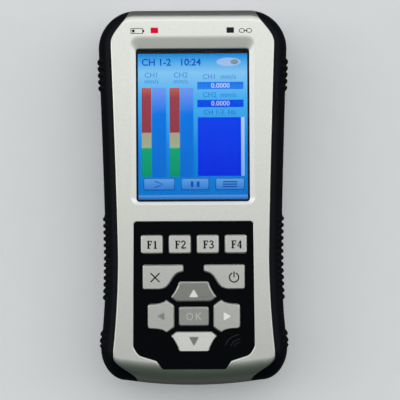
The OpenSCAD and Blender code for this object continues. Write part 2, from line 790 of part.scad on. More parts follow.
module display_panel() {
    color([0.1, 0.35, 0.8]) tray_box(tray_t + glass_gap, board_top_z + tray_t + light_t,
                                     board_top_z + tray_t + light_t + glass_t);
}

connector_w = 23;
connector_l = 3.6;
connector_h = 1.6;
cable_reach = 3;
connector_y = tray_foot_y - cable_reach;

// Flat cable that steps down from the panel's edge to the connector
module display_cable() {
    y0 = tray_foot_y + tray_t + glass_gap;
    z0 = board_top_z + tray_t + light_t + cable_t;
    z1 = board_top_z + connector_h / 2;
    drop = bezier4([y0, z0], [y0 - cable_reach, z0], [connector_y + cable_reach, z1], [connector_y, z1],
                   curve_steps);
    color("orange") translate([-cable_w / 2, 0, 0]) rotate([90, 0, 90]) linear_extrude(cable_w)
        polygon(concat(drop, [for (i = [len(drop) - 1:-1:0]) drop[i] + [0, cable_t]]));
}

module display_connector() {
    color("white") box(-connector_w / 2, connector_w / 2, connector_y - connector_l, connector_y,
                       board_top_z, board_top_z + connector_h);
}

module lamp_window(x) {
    translate([x, lamp_y, 0]) {
        box(-lamp_w / 2, lamp_w / 2, -lamp_h / 2, lamp_h / 2,
            board_top_z + lamp_rise + pipe_gap, front_z - lamp_sink);
        box(-lamp_w / 2 - lamp_flange, lamp_w / 2 + lamp_flange,
            -lamp_h / 2 - lamp_flange, lamp_h / 2 + lamp_flange, seat_z - lamp_flange, seat_z);
    }
}

module battery_lamp_window() { color("red") lamp_window(-lamp_x); }
module link_lamp_window() { color([0.1, 0.05, 0.1]) lamp_window(lamp_x); }

module indicator_lamps() {
    color("white") both_sides()
        box(lamp_x - lamp_w / 2, lamp_x + lamp_w / 2, lamp_y - lamp_h / 2, lamp_y + lamp_h / 2,
            board_top_z, board_top_z + lamp_rise);
}

// Boards
board_gap = 0.6;
board_end_in = shell_end_in + board_gap;
board_foot_in = shell_foot_in + board_gap;
charge_w = 8.8;
acq_top_z = panel_z - charge_w / 2;
acq_z = acq_top_z - board_t;
acq_side_gap = 1.8;
acq_half_w = waist_w / 2 - grip_band - wall - acq_side_gap;
acq_end = 17;
acq_top_y = half_len - acq_end;
block_l = 4;
acq_gap = 3.05;
acq_foot_y = bay_top_y + bay_wall + block_l + acq_gap;
tongue_land = 1.2;
acq_tongue_half_w = charge_x + charge_w / 2 + tongue_land;
acq_tongue_y = half_len - rear_end_in;
spacer_r = 2.5;
stud_r = 1.2;
spacer_in = 5;
spacer_top_in = 10;
spacer_foot_in = 8;
spacer_x = acq_half_w - spacer_in;
spacer_top_y = acq_top_y - spacer_top_in;
spacer_foot_y = acq_foot_y + spacer_foot_in;
nut_h = 1.6;
SPACERS = [[spacer_x, spacer_top_y], [spacer_x, spacer_foot_y]];

// Rows of pieces on the boards, each placed from the one below it
header_up = 12;
processor_up = 18;
buzzer_up = 26;
header_y = acq_foot_y + header_up;
processor_y = header_y + processor_up;
buzzer_y = processor_y + buzzer_up;

module main_board() {
    color("darkgreen") difference() {
        face_prism(wall + board_gap, -(half_len - board_foot_in), half_len - board_end_in,
                   board_z, board_top_z);
        both_sides() {
            for (s = SCREWS) translate([s[0], s[1], board_z - cut])
                cylinder(r = front_boss_r + board_gap, h = board_t + 2 * cut);
            for (p = PILLARS) translate([p[0], p[1], board_z - cut])
                cylinder(r = tapping_r + thread_gap, h = board_t + 2 * cut);
            for (p = SPACERS) translate([p[0], p[1], board_z - cut])
                cylinder(r = stud_r + thread_gap, h = board_t + 2 * cut);
        }
    }
}

module board_screws() {
    color("silver") both_sides() for (p = PILLARS) translate([p[0], p[1], 0]) {
        translate([0, 0, board_z - tapping_head_h]) cylinder(r = tapping_head_r, h = tapping_head_h);
        translate([0, 0, board_z - tapping_head_h / 2])
            cylinder(r = tapping_r, h = tapping_len + tapping_head_h / 2);
    }
}

chip_t = 1.6;
processor_w = 20;
memory_w = 8;
memory_l = 18;
memory_x = 20;
module board_chips() {
    color([0.1, 0.1, 0.1]) {
        box(-processor_w / 2, processor_w / 2, processor_y - processor_w / 2, processor_y + processor_w / 2,
            board_z - chip_t, board_z);
        both_sides() box(memory_x - memory_w / 2, memory_x + memory_w / 2, processor_y - memory_l / 2,
                         processor_y + memory_l / 2, board_z - chip_t, board_z);
    }
}

buzzer_r = 5;
buzzer_h = 4;
buzzer_hole_r = 1;
module buzzer() {
    color([0.1, 0.1, 0.1]) translate([spacer_x - 2 * buzzer_r, buzzer_y, board_z - buzzer_h]) difference() {
        cylinder(r = buzzer_r, h = buzzer_h);
        translate([0, 0, -cut]) cylinder(r = buzzer_hole_r, h = buzzer_h / 2);
    }
}

cell_r = 8;
cell_t = 3.2;
cell_x = -15;
cell_wall = 1;
module clock_cell() {
    color("silver") translate([cell_x, buzzer_y, board_z - cell_t - cell_wall])
        cylinder(r = cell_r, h = cell_t);
}

module cell_holder() {
    color([0.15, 0.15, 0.15]) translate([cell_x, buzzer_y, board_z - cell_t - cell_wall]) difference() {
        cylinder(r = cell_r + cell_wall, h = cell_t + cell_wall);
        translate([0, 0, -cut]) cylinder(r = cell_r, h = cell_t + cut);
    }
}

module acquisition_board() {
    color("darkgreen") difference() {
        union() {
            box(-acq_half_w, acq_half_w, acq_foot_y, acq_top_y, acq_z, acq_top_z);
            box(-acq_tongue_half_w, acq_tongue_half_w, acq_foot_y, acq_tongue_y, acq_z, acq_top_z);
        }
        both_sides() {
            for (p = SPACERS) translate([p[0], p[1], acq_z - cut])
                cylinder(r = stud_r + thread_gap, h = board_t + 2 * cut);
            translate([top_screw_x, top_screw_y, acq_z - cut])
                cylinder(r = rear_boss_r + board_gap, h = board_t + 2 * cut);
        }
    }
}

module board_spacers() {
    color("gold") both_sides() for (p = SPACERS) translate([p[0], p[1], 0]) {
        translate([0, 0, acq_top_z]) cylinder(r = spacer_r, h = board_z - acq_top_z, $fn = 6);
        translate([0, 0, acq_z - nut_h]) cylinder(r = stud_r, h = board_top_z - acq_z + nut_h);
    }
}

module board_nuts() {
    color("silver") both_sides() for (p = SPACERS) translate([p[0], p[1], acq_z - nut_h]) difference() {
        cylinder(r = spacer_r, h = nut_h, $fn = 6);
        translate([0, 0, -cut]) cylinder(r = stud_r + thread_gap, h = nut_h + 2 * cut);
    }
}

can_w = 34;
can_l = 30;
can_h = 4.5;
can_in = 24;
can_y = acq_top_y - can_in;
can_t = 0.3;
module shield_can() {
    color("silver") difference() {
        box(-can_w / 2, can_w / 2, can_y - can_l / 2, can_y + can_l / 2, acq_top_z, acq_top_z + can_h);
        box(-can_w / 2 + can_t, can_w / 2 - can_t, can_y - can_l / 2 + can_t, can_y + can_l / 2 - can_t,
            acq_top_z - cut, acq_top_z + can_h - can_t);
    }
}

header_w = 26;
header_l = 5;
header_body_h = 5;
pin_w = 0.64;
pin_spacing = 2.54;
header_pins = 10;
module link_header() {
    color([0.1, 0.1, 0.1]) {
        box(-header_w / 2, header_w / 2, header_y - header_l / 2, header_y + header_l / 2,
            acq_top_z, acq_top_z + header_body_h);
        box(-header_w / 2, header_w / 2, header_y - header_l / 2, header_y + header_l / 2,
            board_z - header_body_h, board_z);
        for (i = [0:header_pins - 1], s = [-1, 1])
            translate([(i - (header_pins - 1) / 2) * pin_spacing, header_y + s * pin_spacing / 2, 0])
                box(-pin_w / 2, pin_w / 2, -pin_w / 2, pin_w / 2, acq_top_z, board_z);
    }
}

// Sockets at the top end
usb_w = 7.7;
usb_h = 3.9;
usb_l = 9;
usb_t = 0.4;
usb_tongue_w = 4.6;
usb_tongue_h = 0.8;
usb_tongue_in = 1;
usb_gap = 0.3;
usb_z = acq_top_z + usb_h / 2;
charge_l = 11.7;
charge_nose_r = 3.9;
charge_throat_r = 2.75;
charge_throat_l = 10.5;
charge_pin_r = 1;
charge_pin_in = 5;
socket_gap = 0.1;

// Turns a child that points along +Z towards the top end, at a socket's centre
module at_socket(x, z, y) {
    translate([x, y, z]) rotate([-90, 0, 0]) children();
}

module top_panel() {
    color([0.1, 0.1, 0.11]) difference() {
        union() {
            box(-panel_half_w, panel_half_w, panel_in_y - panel_flange_t, panel_face_y,
                panel_z - panel_half_h, panel_z + panel_half_h);
            box(-panel_half_w - panel_lip, panel_half_w + panel_lip, panel_in_y - panel_flange_t, panel_in_y,
                panel_z - panel_half_h - panel_lip, panel_z + panel_half_h);
        }
        for (x = [-sensor_x, sensor_x]) at_socket(x, panel_z, panel_in_y - panel_flange_t - cut)
            cylinder(r = sensor_body_r + socket_gap, h = panel_wall + panel_flange_t + cut);
        at_socket(charge_x, panel_z, panel_in_y - panel_flange_t - cut)
            cylinder(r = charge_nose_r + socket_gap, h = panel_wall + panel_flange_t + cut);
        box(-usb_x - usb_w / 2 - usb_gap, -usb_x + usb_w / 2 + usb_gap, panel_in_y - panel_flange_t - cut,
            half_len, usb_z - usb_h / 2 - usb_gap, usb_z + usb_h / 2 + usb_gap);
    }
}

flange_l = 1.1;
barrel_l = 14;
insert_r = 3.6;
insert_l = 4;
module sensor_socket(x) {
    color("lightgrey") at_socket(x, panel_z, panel_face_y) difference() {
        union() {
            cylinder(r = sensor_flange_r, h = flange_l);
            translate([0, 0, -barrel_l]) cylinder(r = sensor_body_r, h = barrel_l + flange_l / 2);
        }
        translate([0, 0, flange_l - sensor_bore_l]) cylinder(r = sensor_bore_r, h = sensor_bore_l + cut);
        translate([0, 0, flange_l - sensor_bore_l - insert_l]) cylinder(r = insert_r, h = insert_l + cut);
    }
}

module sensor_socket_1() { sensor_socket(-sensor_x); }
module sensor_socket_2() { sensor_socket(sensor_x); }

hole_r = 0.55;
hole_circle_r = 1.9;
hole_l = 2.5;
module socket_inserts() {
    color([0.1, 0.1, 0.1]) for (x = [-sensor_x, sensor_x])
        at_socket(x, panel_z, panel_face_y + flange_l - sensor_bore_l - insert_l) difference() {
            cylinder(r = insert_r, h = insert_l);
            for (a = [45:90:315]) rotate(a) translate([hole_circle_r, 0, insert_l - hole_l])
                cylinder(r = hole_r, h = hole_l + cut);
        }
}

nut_r = 7.6;
nut_t = 2.5;
module socket_nuts() {
    color("silver") for (x = [-sensor_x, sensor_x])
        at_socket(x, panel_z, panel_in_y - panel_flange_t - nut_t) difference() {
            cylinder(r = nut_r, h = nut_t, $fn = 6);
            translate([0, 0, -cut]) cylinder(r = sensor_body_r + thread_gap, h = nut_t + 2 * cut);
        }
}

module usb_socket() {
    color("silver") translate([-usb_x, panel_face_y - usb_gap, usb_z]) {
        difference() {
            box(-usb_w / 2, usb_w / 2, -usb_l, 0, -usb_h / 2, usb_h / 2);
            box(-usb_w / 2 + usb_t, usb_w / 2 - usb_t, -usb_l + usb_t, cut,
                -usb_h / 2 + usb_t, usb_h / 2 - usb_t);
        }
        box(-usb_tongue_w / 2, usb_tongue_w / 2, -usb_l, -usb_tongue_in, -usb_tongue_h / 2, usb_tongue_h / 2);
    }
}

module charge_socket() {
    block_y = panel_in_y - panel_flange_t - socket_gap;
    color([0.1, 0.1, 0.1]) difference() {
        union() {
            box(charge_x - charge_w / 2, charge_x + charge_w / 2, block_y - charge_l, block_y, acq_top_z,
                acq_top_z + charge_w);
            at_socket(charge_x, panel_z, block_y - cut)
                cylinder(r = charge_nose_r, h = panel_face_y - block_y + cut);
        }
        at_socket(charge_x, panel_z, panel_face_y - charge_bore_l)
            cylinder(r = charge_bore_r, h = charge_bore_l + cut);
        at_socket(charge_x, panel_z, panel_face_y - charge_throat_l)
            cylinder(r = charge_throat_r, h = charge_throat_l - charge_bore_l + cut);
    }
}

module charge_pin() {
    color("gold") at_socket(charge_x, panel_z, panel_face_y - charge_throat_l)
        cylinder(r = charge_pin_r, h = charge_throat_l - charge_pin_in);
}

// Battery
pack_r = 5;
pack_top_y = bay_top_y - blade_reach;
blade_w = 1.5;
blade_pitch = 4;
module battery_pack() {
    color([0.15, 0.2, 0.5]) translate([0, pack_top_y, pack_z + pack_h / 2]) rotate([90, 0, 0])
        linear_extrude(pack_l) plate(pack_w, pack_h, pack_r);
}

blade_in = 0.5;
module battery_contacts() {
    color("gold") {
        box(-contact_half_w, contact_half_w, bay_top_y + bay_wall, bay_top_y + bay_wall + block_l,
            contact_z, board_z);
        for (i = [-1:1]) translate([i * blade_pitch, 0, 0])
            box(-blade_w / 2, blade_w / 2, bay_top_y - blade_reach, bay_top_y + bay_wall,
                contact_z + blade_in, contact_z + blade_h - blade_in);
    }
}

module battery_door() {
    z1 = pack_z - bay_gap;
    color([0.13, 0.14, 0.15]) difference() {
        union() {
            intersection() {
                skin(skin_inset, front_z, face_side_roll);
                union() {
                    box(-door_w / 2, door_w / 2, -case_len, door_y, door_face_z, z1);
                    box(-door_w / 2, door_w / 2, -case_len, door_end_y, door_face_z, door_end_z);
                }
            }
            box(-door_w / 2 - flange_lap, door_w / 2 + flange_lap, door_end_y, door_y - bay_wall,
                rear_wall + rail_gap, z1);
            for (i = [0:thumb_ribs - 1])
                translate([0, thumb_y - i * thumb_pitch, 0])
                    box(-thumb_w / 2, thumb_w / 2, -thumb_t, 0, door_face_z - thumb_h, door_face_z + thumb_h);
        }
        box(-door_w / 2 + flange_lap, door_w / 2 - flange_lap, door_end_y, door_y - bay_wall,
            door_top_z, z1 + cut);
    }
}

module case_screws() {
    color("silver") both_sides() for (s = SCREWS) translate([s[0], s[1], 0]) difference() {
        union() {
            translate([0, 0, screw_seat_z - screw_head_h]) cylinder(r = screw_head_r, h = screw_head_h);
            translate([0, 0, screw_seat_z - cut]) cylinder(r = screw_r, h = screw_len + cut);
        }
        translate([0, 0, screw_seat_z - screw_head_h - cut])
            cylinder(r = screw_r, h = screw_head_h / 2 + cut, $fn = 6);
    }
}

front_shell();
rear_shell();
side_grip_left();
side_grip_right();
keypad_panel();
key(0);  // key_f1
key(1);  // key_f2
key(2);  // key_f3
key(3);  // key_f4
key(4);  // key_cancel
key(5);  // key_power
key(6);  // key_up
key(7);  // key_down
key(8);  // key_left
key(9);  // key_right
key(10);  // key_ok
display_window();
window_gasket();
display_panel();
backlight();
display_frame();
display_cable();
display_connector();
battery_lamp_window();
link_lamp_window();
indicator_lamps();
main_board();
board_screws();
board_chips();
key_contacts();
key_domes();
keypad_mat();
buzzer();
clock_cell();
cell_holder();
acquisition_board();
shield_can();
board_spacers();
board_nuts();
link_header();
top_panel();
sensor_socket_1();
sensor_socket_2();
socket_inserts();
socket_nuts();
usb_socket();
charge_socket();
charge_pin();
battery_pack();
battery_contacts();
battery_door();
case_seal();
case_screws();
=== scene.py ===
"""Looks of the handheld two-channel vibration meter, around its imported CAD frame.

Shapes are worked out in millimetres and scaled to metres when their mesh is made.
+X is to the right, +Y towards the top end with the sockets, +Z out of the silver front.
"""

import json
import math

import bmesh
import bpy
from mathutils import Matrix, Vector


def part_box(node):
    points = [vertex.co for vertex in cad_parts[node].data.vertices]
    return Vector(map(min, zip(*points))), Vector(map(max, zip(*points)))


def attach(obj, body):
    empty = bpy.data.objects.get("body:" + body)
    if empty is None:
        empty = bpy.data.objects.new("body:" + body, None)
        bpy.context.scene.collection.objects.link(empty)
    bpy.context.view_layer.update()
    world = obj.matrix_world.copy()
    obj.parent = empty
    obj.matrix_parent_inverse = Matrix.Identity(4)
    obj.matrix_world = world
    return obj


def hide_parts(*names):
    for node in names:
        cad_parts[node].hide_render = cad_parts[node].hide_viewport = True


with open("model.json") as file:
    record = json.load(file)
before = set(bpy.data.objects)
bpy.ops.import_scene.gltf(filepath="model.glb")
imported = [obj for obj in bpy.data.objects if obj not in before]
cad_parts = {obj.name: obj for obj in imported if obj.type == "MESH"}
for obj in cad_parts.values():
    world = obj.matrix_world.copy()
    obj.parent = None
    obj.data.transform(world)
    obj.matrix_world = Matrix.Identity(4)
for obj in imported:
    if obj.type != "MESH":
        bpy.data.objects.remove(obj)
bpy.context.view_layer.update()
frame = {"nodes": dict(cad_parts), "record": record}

MM = 0.001


def span(node):
    """Lowest and highest corner of a CAD node in millimetres."""
    low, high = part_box(node)
    return [v / MM for v in low], [v / MM for v in high]


# Heights and lengths that the frame gives
FRONT_LOW, FRONT_HIGH = span("front_shell")
HALF_LEN = FRONT_HIGH[1]
FRONT_Z = FRONT_HIGH[2]
SEAM_Z = FRONT_LOW[2]
GRIP_Z = span("side_grip_right")[0][2]
GRIP_SINK = 1.2
GRIP_TOP_Z = FRONT_Z - GRIP_SINK
INLAY_LOW, INLAY_HIGH = span("keypad_panel")
PICTURE_LIFT = 0.02
PICTURE_Z = span("display_panel")[1][2] + PICTURE_LIFT
KEY_TOP_Z = span("key_ok")[1][2]
KEY_FOOT_Z = span("key_ok")[0][2]

# Case
TOP_W = 93.8
WAIST_W = 87.8
FOOT_W = 93.0
WAIST_Y = -29.0
TOP_CORNER_R = 19.0
FOOT_CORNER_W = 13.0
FOOT_CORNER_L = 15.5
FOOT_BOW = 2.5
TOP_FLARE = 1.25
FOOT_FLARE = 1.9
TOP_ROLL = 7.0
FOOT_ROLL = 12.0
TOP_ROLL_DROP = 4.0
REAR_ROLL = 7.0
REAR_ROLL_H = 9.0
SKIN_INSET = 0.4
FACE_SIDE_ROLL = 5.0
WALL = 2.2
FRONT_WALL = 2.0
REAR_WALL = 2.2
TOP_Y = HALF_LEN - TOP_CORNER_R
FOOT_Y = -(HALF_LEN - FOOT_BOW - FOOT_CORNER_L)
TOP_CORNER_X = TOP_W / 2 - TOP_CORNER_R
FOOT_CORNER_X = FOOT_W / 2 - FOOT_CORNER_W
FACE_STEP = 1.6
# How far a cutter reaches past what it cuts
CUT = 0.6
# Rounded upper side edges of the silver face: radius, steps, degrees of a step
EDGE_ROUND = 0.9
EDGE_STEPS = 6
EDGE_TURN = 13.5
EDGE_LIFT = 1.03
LEVEL_GAP = 0.1
BODY_STEP = 1.2
BODY_OVER = 5
SKIN_STEPS = 40
SHELL_ANGLE = 30

# Grips
GRIP_BAND = 6.9
GRIP_MID_Z = 20.0
GRIP_ROLL = 8.0
RIB_PITCH = 3.25
RIB_W = 2.1
RIB_H = 1.0
RIB_LOW_Z = 9.0
RIB_HIGH_Z = 31.0
RIB_FADE = 1.6
RIB_CREST = 3.2
RIB_FLANK = 0.6
# Place of the highest rib and count of ribs in each group
RIB_GROUPS = ((HALF_LEN - 25.5, 5), (WAIST_Y + 18.3, 13), (-(HALF_LEN - 25.1), 3))
EAR_IN = 9.0
EAR_LEN = 17.5
HEEL_IN = 11.6
HEEL_LEN = 12.5
EAR_Y = HALF_LEN - EAR_LEN
HEEL_Y = -HALF_LEN + HEEL_LEN + FOOT_BOW
GRIP_STEP = 0.8
GRIP_TOP_STEPS = 26
GRIP_ANGLE = 38

# Display
LIT_W = 53.64
LIT_H = 71.52
LIT_Y = 34.75
MARGIN_SIDE = 0.9
MARGIN_TOP = 2.0
MARGIN_FOOT = 1.0
APERTURE_W = LIT_W + 2 * MARGIN_SIDE
APERTURE_TOP = LIT_Y + LIT_H / 2 + MARGIN_TOP
APERTURE_FOOT = LIT_Y - LIT_H / 2 - MARGIN_FOOT
APERTURE_R = 1.6
SLOPE_SIDE = 2.7
SLOPE_TOP = 5.9
SLOPE_FOOT = 1.4
SLOPE_DEPTH = 0.85
SLOPE_R = 4.0
SLOPE_SOFT = 0.25
SLOPE_END = 1.16
SLOPE_SKIM = 0.004

# Indicator windows
LAMP_X = 18.5
LAMP_Y = HALF_LEN - 11.5
LAMP_W = 3.6
LAMP_H = 2.5
LAMP_R = 0.35
LAMP_LIP = 0.22

# Keypad inlay
INLAY_RIM = 1.3
INLAY_TOP_Y = INLAY_HIGH[1] - INLAY_RIM
INLAY_LEN = 72.1
INLAY_TOP_HALF_W = 29.1
INLAY_FOOT_HALF_W = 29.6
INLAY_TOP_Z = INLAY_HIGH[2]
SEAT_Z = FRONT_Z - FRONT_WALL
LIP_ROUND = 0.55
INLAY_FIT = 0.1
RIM_GAP = 0.02
INLAY_EDGE_R = 0.3
INLAY_ANGLE = 20
# Shares of the foot's half width and of the length, from the foot's middle upwards
INLAY_FOOT = ((0.52, 1), (0.618, 0.942), (0.924, 0.902), (1, 0.846))
INLAY_RADII = (1.4, 1.2, 5.0, 3.2, 1.6)

# Keys
KEY_GAP = 0.25
KEY_LIP = 0.12
KEY_ANGLE = 18
KEY_BEVEL = 0.5
KEY_FLANGE = 0.7
KEY_FLANGE_T = 1.0
KEY_CORNER_R = 0.8
FKEY_W = 10.4
FKEY_X = 0.15
FKEY_H = 8.6
FKEY_PITCH = 13.7
FKEY_Y = -22.9
SWEPT_W = 19.6
SWEPT_H = 11.6
SWEPT_X = 24.8 - SWEPT_W / 2
SWEPT_Y = -33.1 - SWEPT_H / 2
PAD_Y = -58.1
PAD_REACH_UP = 16.8
PAD_REACH_Y = 17.1
PAD_REACH_X = 22.4
OK_W = 14.2
OK_H = 9.0
FLAT_TOP_Z = KEY_TOP_Z - 0.05
PAD_DROP = 0.95
DOWN_DROP = 0.6
OK_DROP = 0.75
OK_TILT = 0.05
OK_SINK = 0.22
# Swept edge of the cross and power keys in shares of their width and height
SWEEP = ((1, 0.74), (0.65, 0.7), (0.74, 0), (0.4, 0))
SWEPT_TIP_R = 0.5
ARROW_END_R = KEY_CORNER_R + 0.6
ARROW_FOOT_R = 0.7
TIP_R = 0.35
# Direction keys: shares of the reach along and across, from the foot's corner to the end
ARROW_Y = ((0.445, 0.503), (0.567, 0.65), (0.70, 0.53), (1, 0.44))
ARROW_X = ((0.437, 0.235), (0.6, 0.35), (0.67, 0.268), (1, 0.262))


# Mesh helpers

def link(obj):
    bpy.context.scene.collection.objects.link(obj)
    return obj


def mesh_object(name, bm):
    bmesh.ops.recalc_face_normals(bm, faces=bm.faces)
    mesh = bpy.data.meshes.new(name)
    bm.to_mesh(mesh)
    bm.free()
    return link(bpy.data.objects.new(name, mesh))


def loft(name, rings):
    """Closed solid through rings of as many points each."""
    bm = bmesh.new()
    rows = [[bm.verts.new([c * MM for c in p]) for p in ring] for ring in rings]
    count = len(rings[0])
    for low, high in zip(rows, rows[1:]):
        for i in range(count):
            j = (i + 1) % count
            bm.faces.new((low[i], low[j], high[j], high[i]))
    bm.faces.new(rows[0][::-1])
    bm.faces.new(rows[-1])
    return mesh_object(name, bm)


def prism(outline, z0, z1, name="cutter"):
    return loft(name, [[(x, y, z0) for x, y in outline], [(x, y, z1) for x, y in outline]])


def block(x0, x1, y0, y1, z0, z1, name="cutter"):
    return prism(corners(x0, x1, y0, y1), z0, z1, name)


def rod(x, y, r, z0, z1, steps=40):
    return prism(oval(x, y, r, r, steps), z0, z1)


def combine(target, tool, operation="DIFFERENCE"):
    """Cuts or joins target with tool, which is used up."""
    modifier = target.modifiers.new("combine", "BOOLEAN")
    modifier.object = tool
    modifier.operation = operation
    modifier.solver = "MANIFOLD"
    depsgraph = bpy.context.evaluated_depsgraph_get()
    mesh = bpy.data.meshes.new_from_object(target.evaluated_get(depsgraph))
    target.modifiers.clear()
    spent = [target.data, tool.data]
    target.data = mesh
    bpy.data.objects.remove(tool)
    for data in spent:
        bpy.data.meshes.remove(data)
    return target


def smooth(obj, angle):
    """Smooth shading with sharp edges over an angle, and flat faces kept flat."""
    bm = bmesh.new()
    bm.from_mesh(obj.data)
    limit = math.radians(angle)
    for face in bm.faces:
        face.smooth = True
    for edge in bm.edges:
        edge.smooth = len(edge.link_faces) == 2 and edge.calc_face_angle(0) < limit
    bm.to_mesh(obj.data)
    bm.free()
    modifier = obj.modifiers.new("flat faces stay flat", "WEIGHTED_NORMAL")
    modifier.keep_sharp = True
    modifier.weight = 100
    return obj


# Outlines

def corners(x0, x1, y0, y1):
    return [(x0, y0), (x1, y0), (x1, y1), (x0, y1)]


def oval(x, y, rx, ry, steps=40, start=0.0, sweep=360.0):
    """Whole oval, or the part of it that sweeps on from a start angle in degrees."""
    count = steps if sweep >= 360 else steps + 1
    turns = [math.radians(start + sweep * i / steps) for i in range(count)]
    return [(x + rx * math.cos(a), y + ry * math.sin(a)) for a in turns]


def mirrored(right):
    """Points of the right half, and of the left half in turn."""
    return right + [(-p[0],) + p[1:] for p in right[::-1]]


def rounded(points, radii, steps=8):
    """Closed outline with an arc at each corner."""
    out = []
    count = len(points)
    for i, (x, y) in enumerate(points):
        r = radii[i] if isinstance(radii, (list, tuple)) else radii
        px, py = points[i - 1]
        nx, ny = points[(i + 1) % count]
        ax, ay = px - x, py - y
        bx, by = nx - x, ny - y
        la, lb = math.hypot(ax, ay), math.hypot(bx, by)
        half = math.acos(max(-1, min(1, (ax * bx + ay * by) / (la * lb)))) / 2
        if r <= 0 or half > math.pi / 2 - 0.01:
            out.append((x, y))
            continue
        reach = min(r / math.tan(half), 0.49 * la, 0.49 * lb)
        start = (x + ax / la * reach, y + ay / la * reach)
        end = (x + bx / lb * reach, y + by / lb * reach)
        radius = reach * math.tan(half)
        mx, my = ax / la + bx / lb, ay / la + by / lb
        ml = math.hypot(mx, my)
        cx = x + mx / ml * radius / math.sin(half)
        cy = y + my / ml * radius / math.sin(half)
        a0 = math.atan2(start[1] - cy, start[0] - cx)
        a1 = math.atan2(end[1] - cy, end[0] - cx)
        turn = (a1 - a0 + math.pi) % (2 * math.pi) - math.pi
        for k in range(steps + 1):
            a = a0 + turn * k / steps
            out.append((cx + radius * math.cos(a), cy + radius * math.sin(a)))
    return out


MITRE_LIMIT = 0.35


def grown(outline, d):
    """Outline moved outwards by d along its corners' bisectors; it runs anticlockwise."""
    out = []
    count = len(outline)
    for i, (x, y) in enumerate(outline):
        px, py = outline[i - 1]
        nx, ny = outline[(i + 1) % count]
        ax, ay = x - px, y - py
        bx, by = nx - x, ny - y
        la, lb = math.hypot(ax, ay) or 1, math.hypot(bx, by) or 1
        n1 = (ay / la, -ax / la)
        n2 = (by / lb, -bx / lb)
        k = d / max(MITRE_LIMIT, 1 + n1[0] * n2[0] + n1[1] * n2[1])
        out.append((x + (n1[0] + n2[0]) * k, y + (n1[1] + n2[1]) * k))
    return out


def anticlockwise(outline):
    area = sum(a[0] * b[1] - b[0] * a[1] for a, b in zip(outline, outline[1:] + outline[:1]))
    return outline if area > 0 else outline[::-1]


def rectangle(w, h, r, y=0.0, x=0.0, steps=8):
    return rounded(corners(x - w / 2, x + w / 2, y - h / 2, y + h / 2), r, steps)


def moved(outline, x, y, degrees=0.0, flip=False):
    c, s = math.cos(math.radians(degrees)), math.sin(math.radians(degrees))
    sign = -1 if flip else 1
    out = [(x + sign * px * c - py * s, y + sign * px * s + py * c) for px, py in outline]
    return anticlockwise(out)


def bezier(points, steps):
    """Points of a Bezier curve of any degree."""
    degree = len(points) - 1
    out = []
    for i in range(steps + 1):
        t = i / steps
        weights = [math.comb(degree, k) * t ** k * (1 - t) ** (degree - k)
                   for k in range(degree + 1)]
        out.append(tuple(sum(w * p[c] for w, p in zip(weights, points)) for c in (0, 1)))
    return out


# Skin of the case

def side_x(y):
    if y >= WAIST_Y:
        share = ((y - WAIST_Y) / (TOP_Y - WAIST_Y)) ** TOP_FLARE
        return (WAIST_W + (TOP_W - WAIST_W) * share) / 2
    share = ((WAIST_Y - y) / (WAIST_Y - FOOT_Y)) ** FOOT_FLARE
    return (WAIST_W + (FOOT_W - WAIST_W) * share) / 2


def roll(z, start, end, depth):
    t = (z - start) / (end - start)
    return 0.0 if t <= 0 else depth * (1 - math.sqrt(max(0.0, 1 - t * t)))


def insets(z, side_inset, z_front, side_roll):
    rear = roll(-z, -REAR_ROLL_H, 0, REAR_ROLL)
    return (rear + side_inset + roll(z, GRIP_MID_Z, z_front, side_roll),
            rear + roll(z, SEAM_Z - TOP_ROLL_DROP, z_front, TOP_ROLL),
            rear + roll(z, SEAM_Z, z_front, FOOT_ROLL))


CORNER_STEPS = 26
SIDE_STEP = 2.5
RIB_STEP = 0.3


def side_stations():
    """Heights along a side, closer together over the ribs."""
    ys = []
    y = TOP_Y
    while y > FOOT_Y + SIDE_STEP / 2:
        ys.append(y)
        ribbed = any(top + RIB_PITCH / 2 >= y >= top - (count - 0.5) * RIB_PITCH
                     for top, count in RIB_GROUPS)
        y -= RIB_STEP if ribbed else SIDE_STEP / 2
    return ys[1:]


STATIONS = side_stations()
BOW_STEPS = 12


def half_ring(side_in, top_in, foot_in):
    """Right half of the outline, from the top's middle to the bottom's middle."""
    points = oval(TOP_CORNER_X, TOP_Y, TOP_CORNER_R - side_in, TOP_CORNER_R - top_in,
                  CORNER_STEPS, 90, -90)
    points += [(side_x(y) - side_in, y) for y in STATIONS]
    points += oval(FOOT_CORNER_X, FOOT_Y, FOOT_CORNER_W - side_in, FOOT_CORNER_L - foot_in,
                   CORNER_STEPS, 0, -90)
    for i in range(1, BOW_STEPS + 1):
        s = 1 - i / BOW_STEPS
        points.append((FOOT_CORNER_X * s, -HALF_LEN + FOOT_BOW * s * s + foot_in))
    return points


def full_ring(z, side_inset, z_front, side_roll):
    right = half_ring(*insets(z, side_inset, z_front, side_roll))
    left = [(-x, y) for x, y in right[-2::-1]]
    return [(x, y, z) for x, y in right + left]


def rear_levels(z_low, steps=10):
    heights = [REAR_ROLL_H * (1 - math.cos(math.pi / 2 * i / steps)) for i in range(steps + 1)]
    return [z for z in heights if z >= z_low]


def front_levels(z_front, steps):
    rise = z_front - GRIP_MID_Z
    return [GRIP_MID_Z + rise * math.sin(math.pi / 2 * i / steps) for i in range(steps + 1)]


def skin_solid(name, levels):
    return loft(name, [full_ring(z, SKIN_INSET, FRONT_Z, FACE_SIDE_ROLL) for z in levels])


def ease(t):
    return (1 - math.cos(math.pi * min(1.0, t))) / 2


def face_x(y):
    """Half the silver face's width."""
    side = side_x(min(TOP_Y, max(FOOT_Y, y))) - GRIP_BAND
    if y > EAR_Y:
        return side - EAR_IN * ease((y - EAR_Y) / EAR_LEN)
    if y < HEEL_Y:
        return side - HEEL_IN * ease((HEEL_Y - y) / HEEL_LEN)
    return side


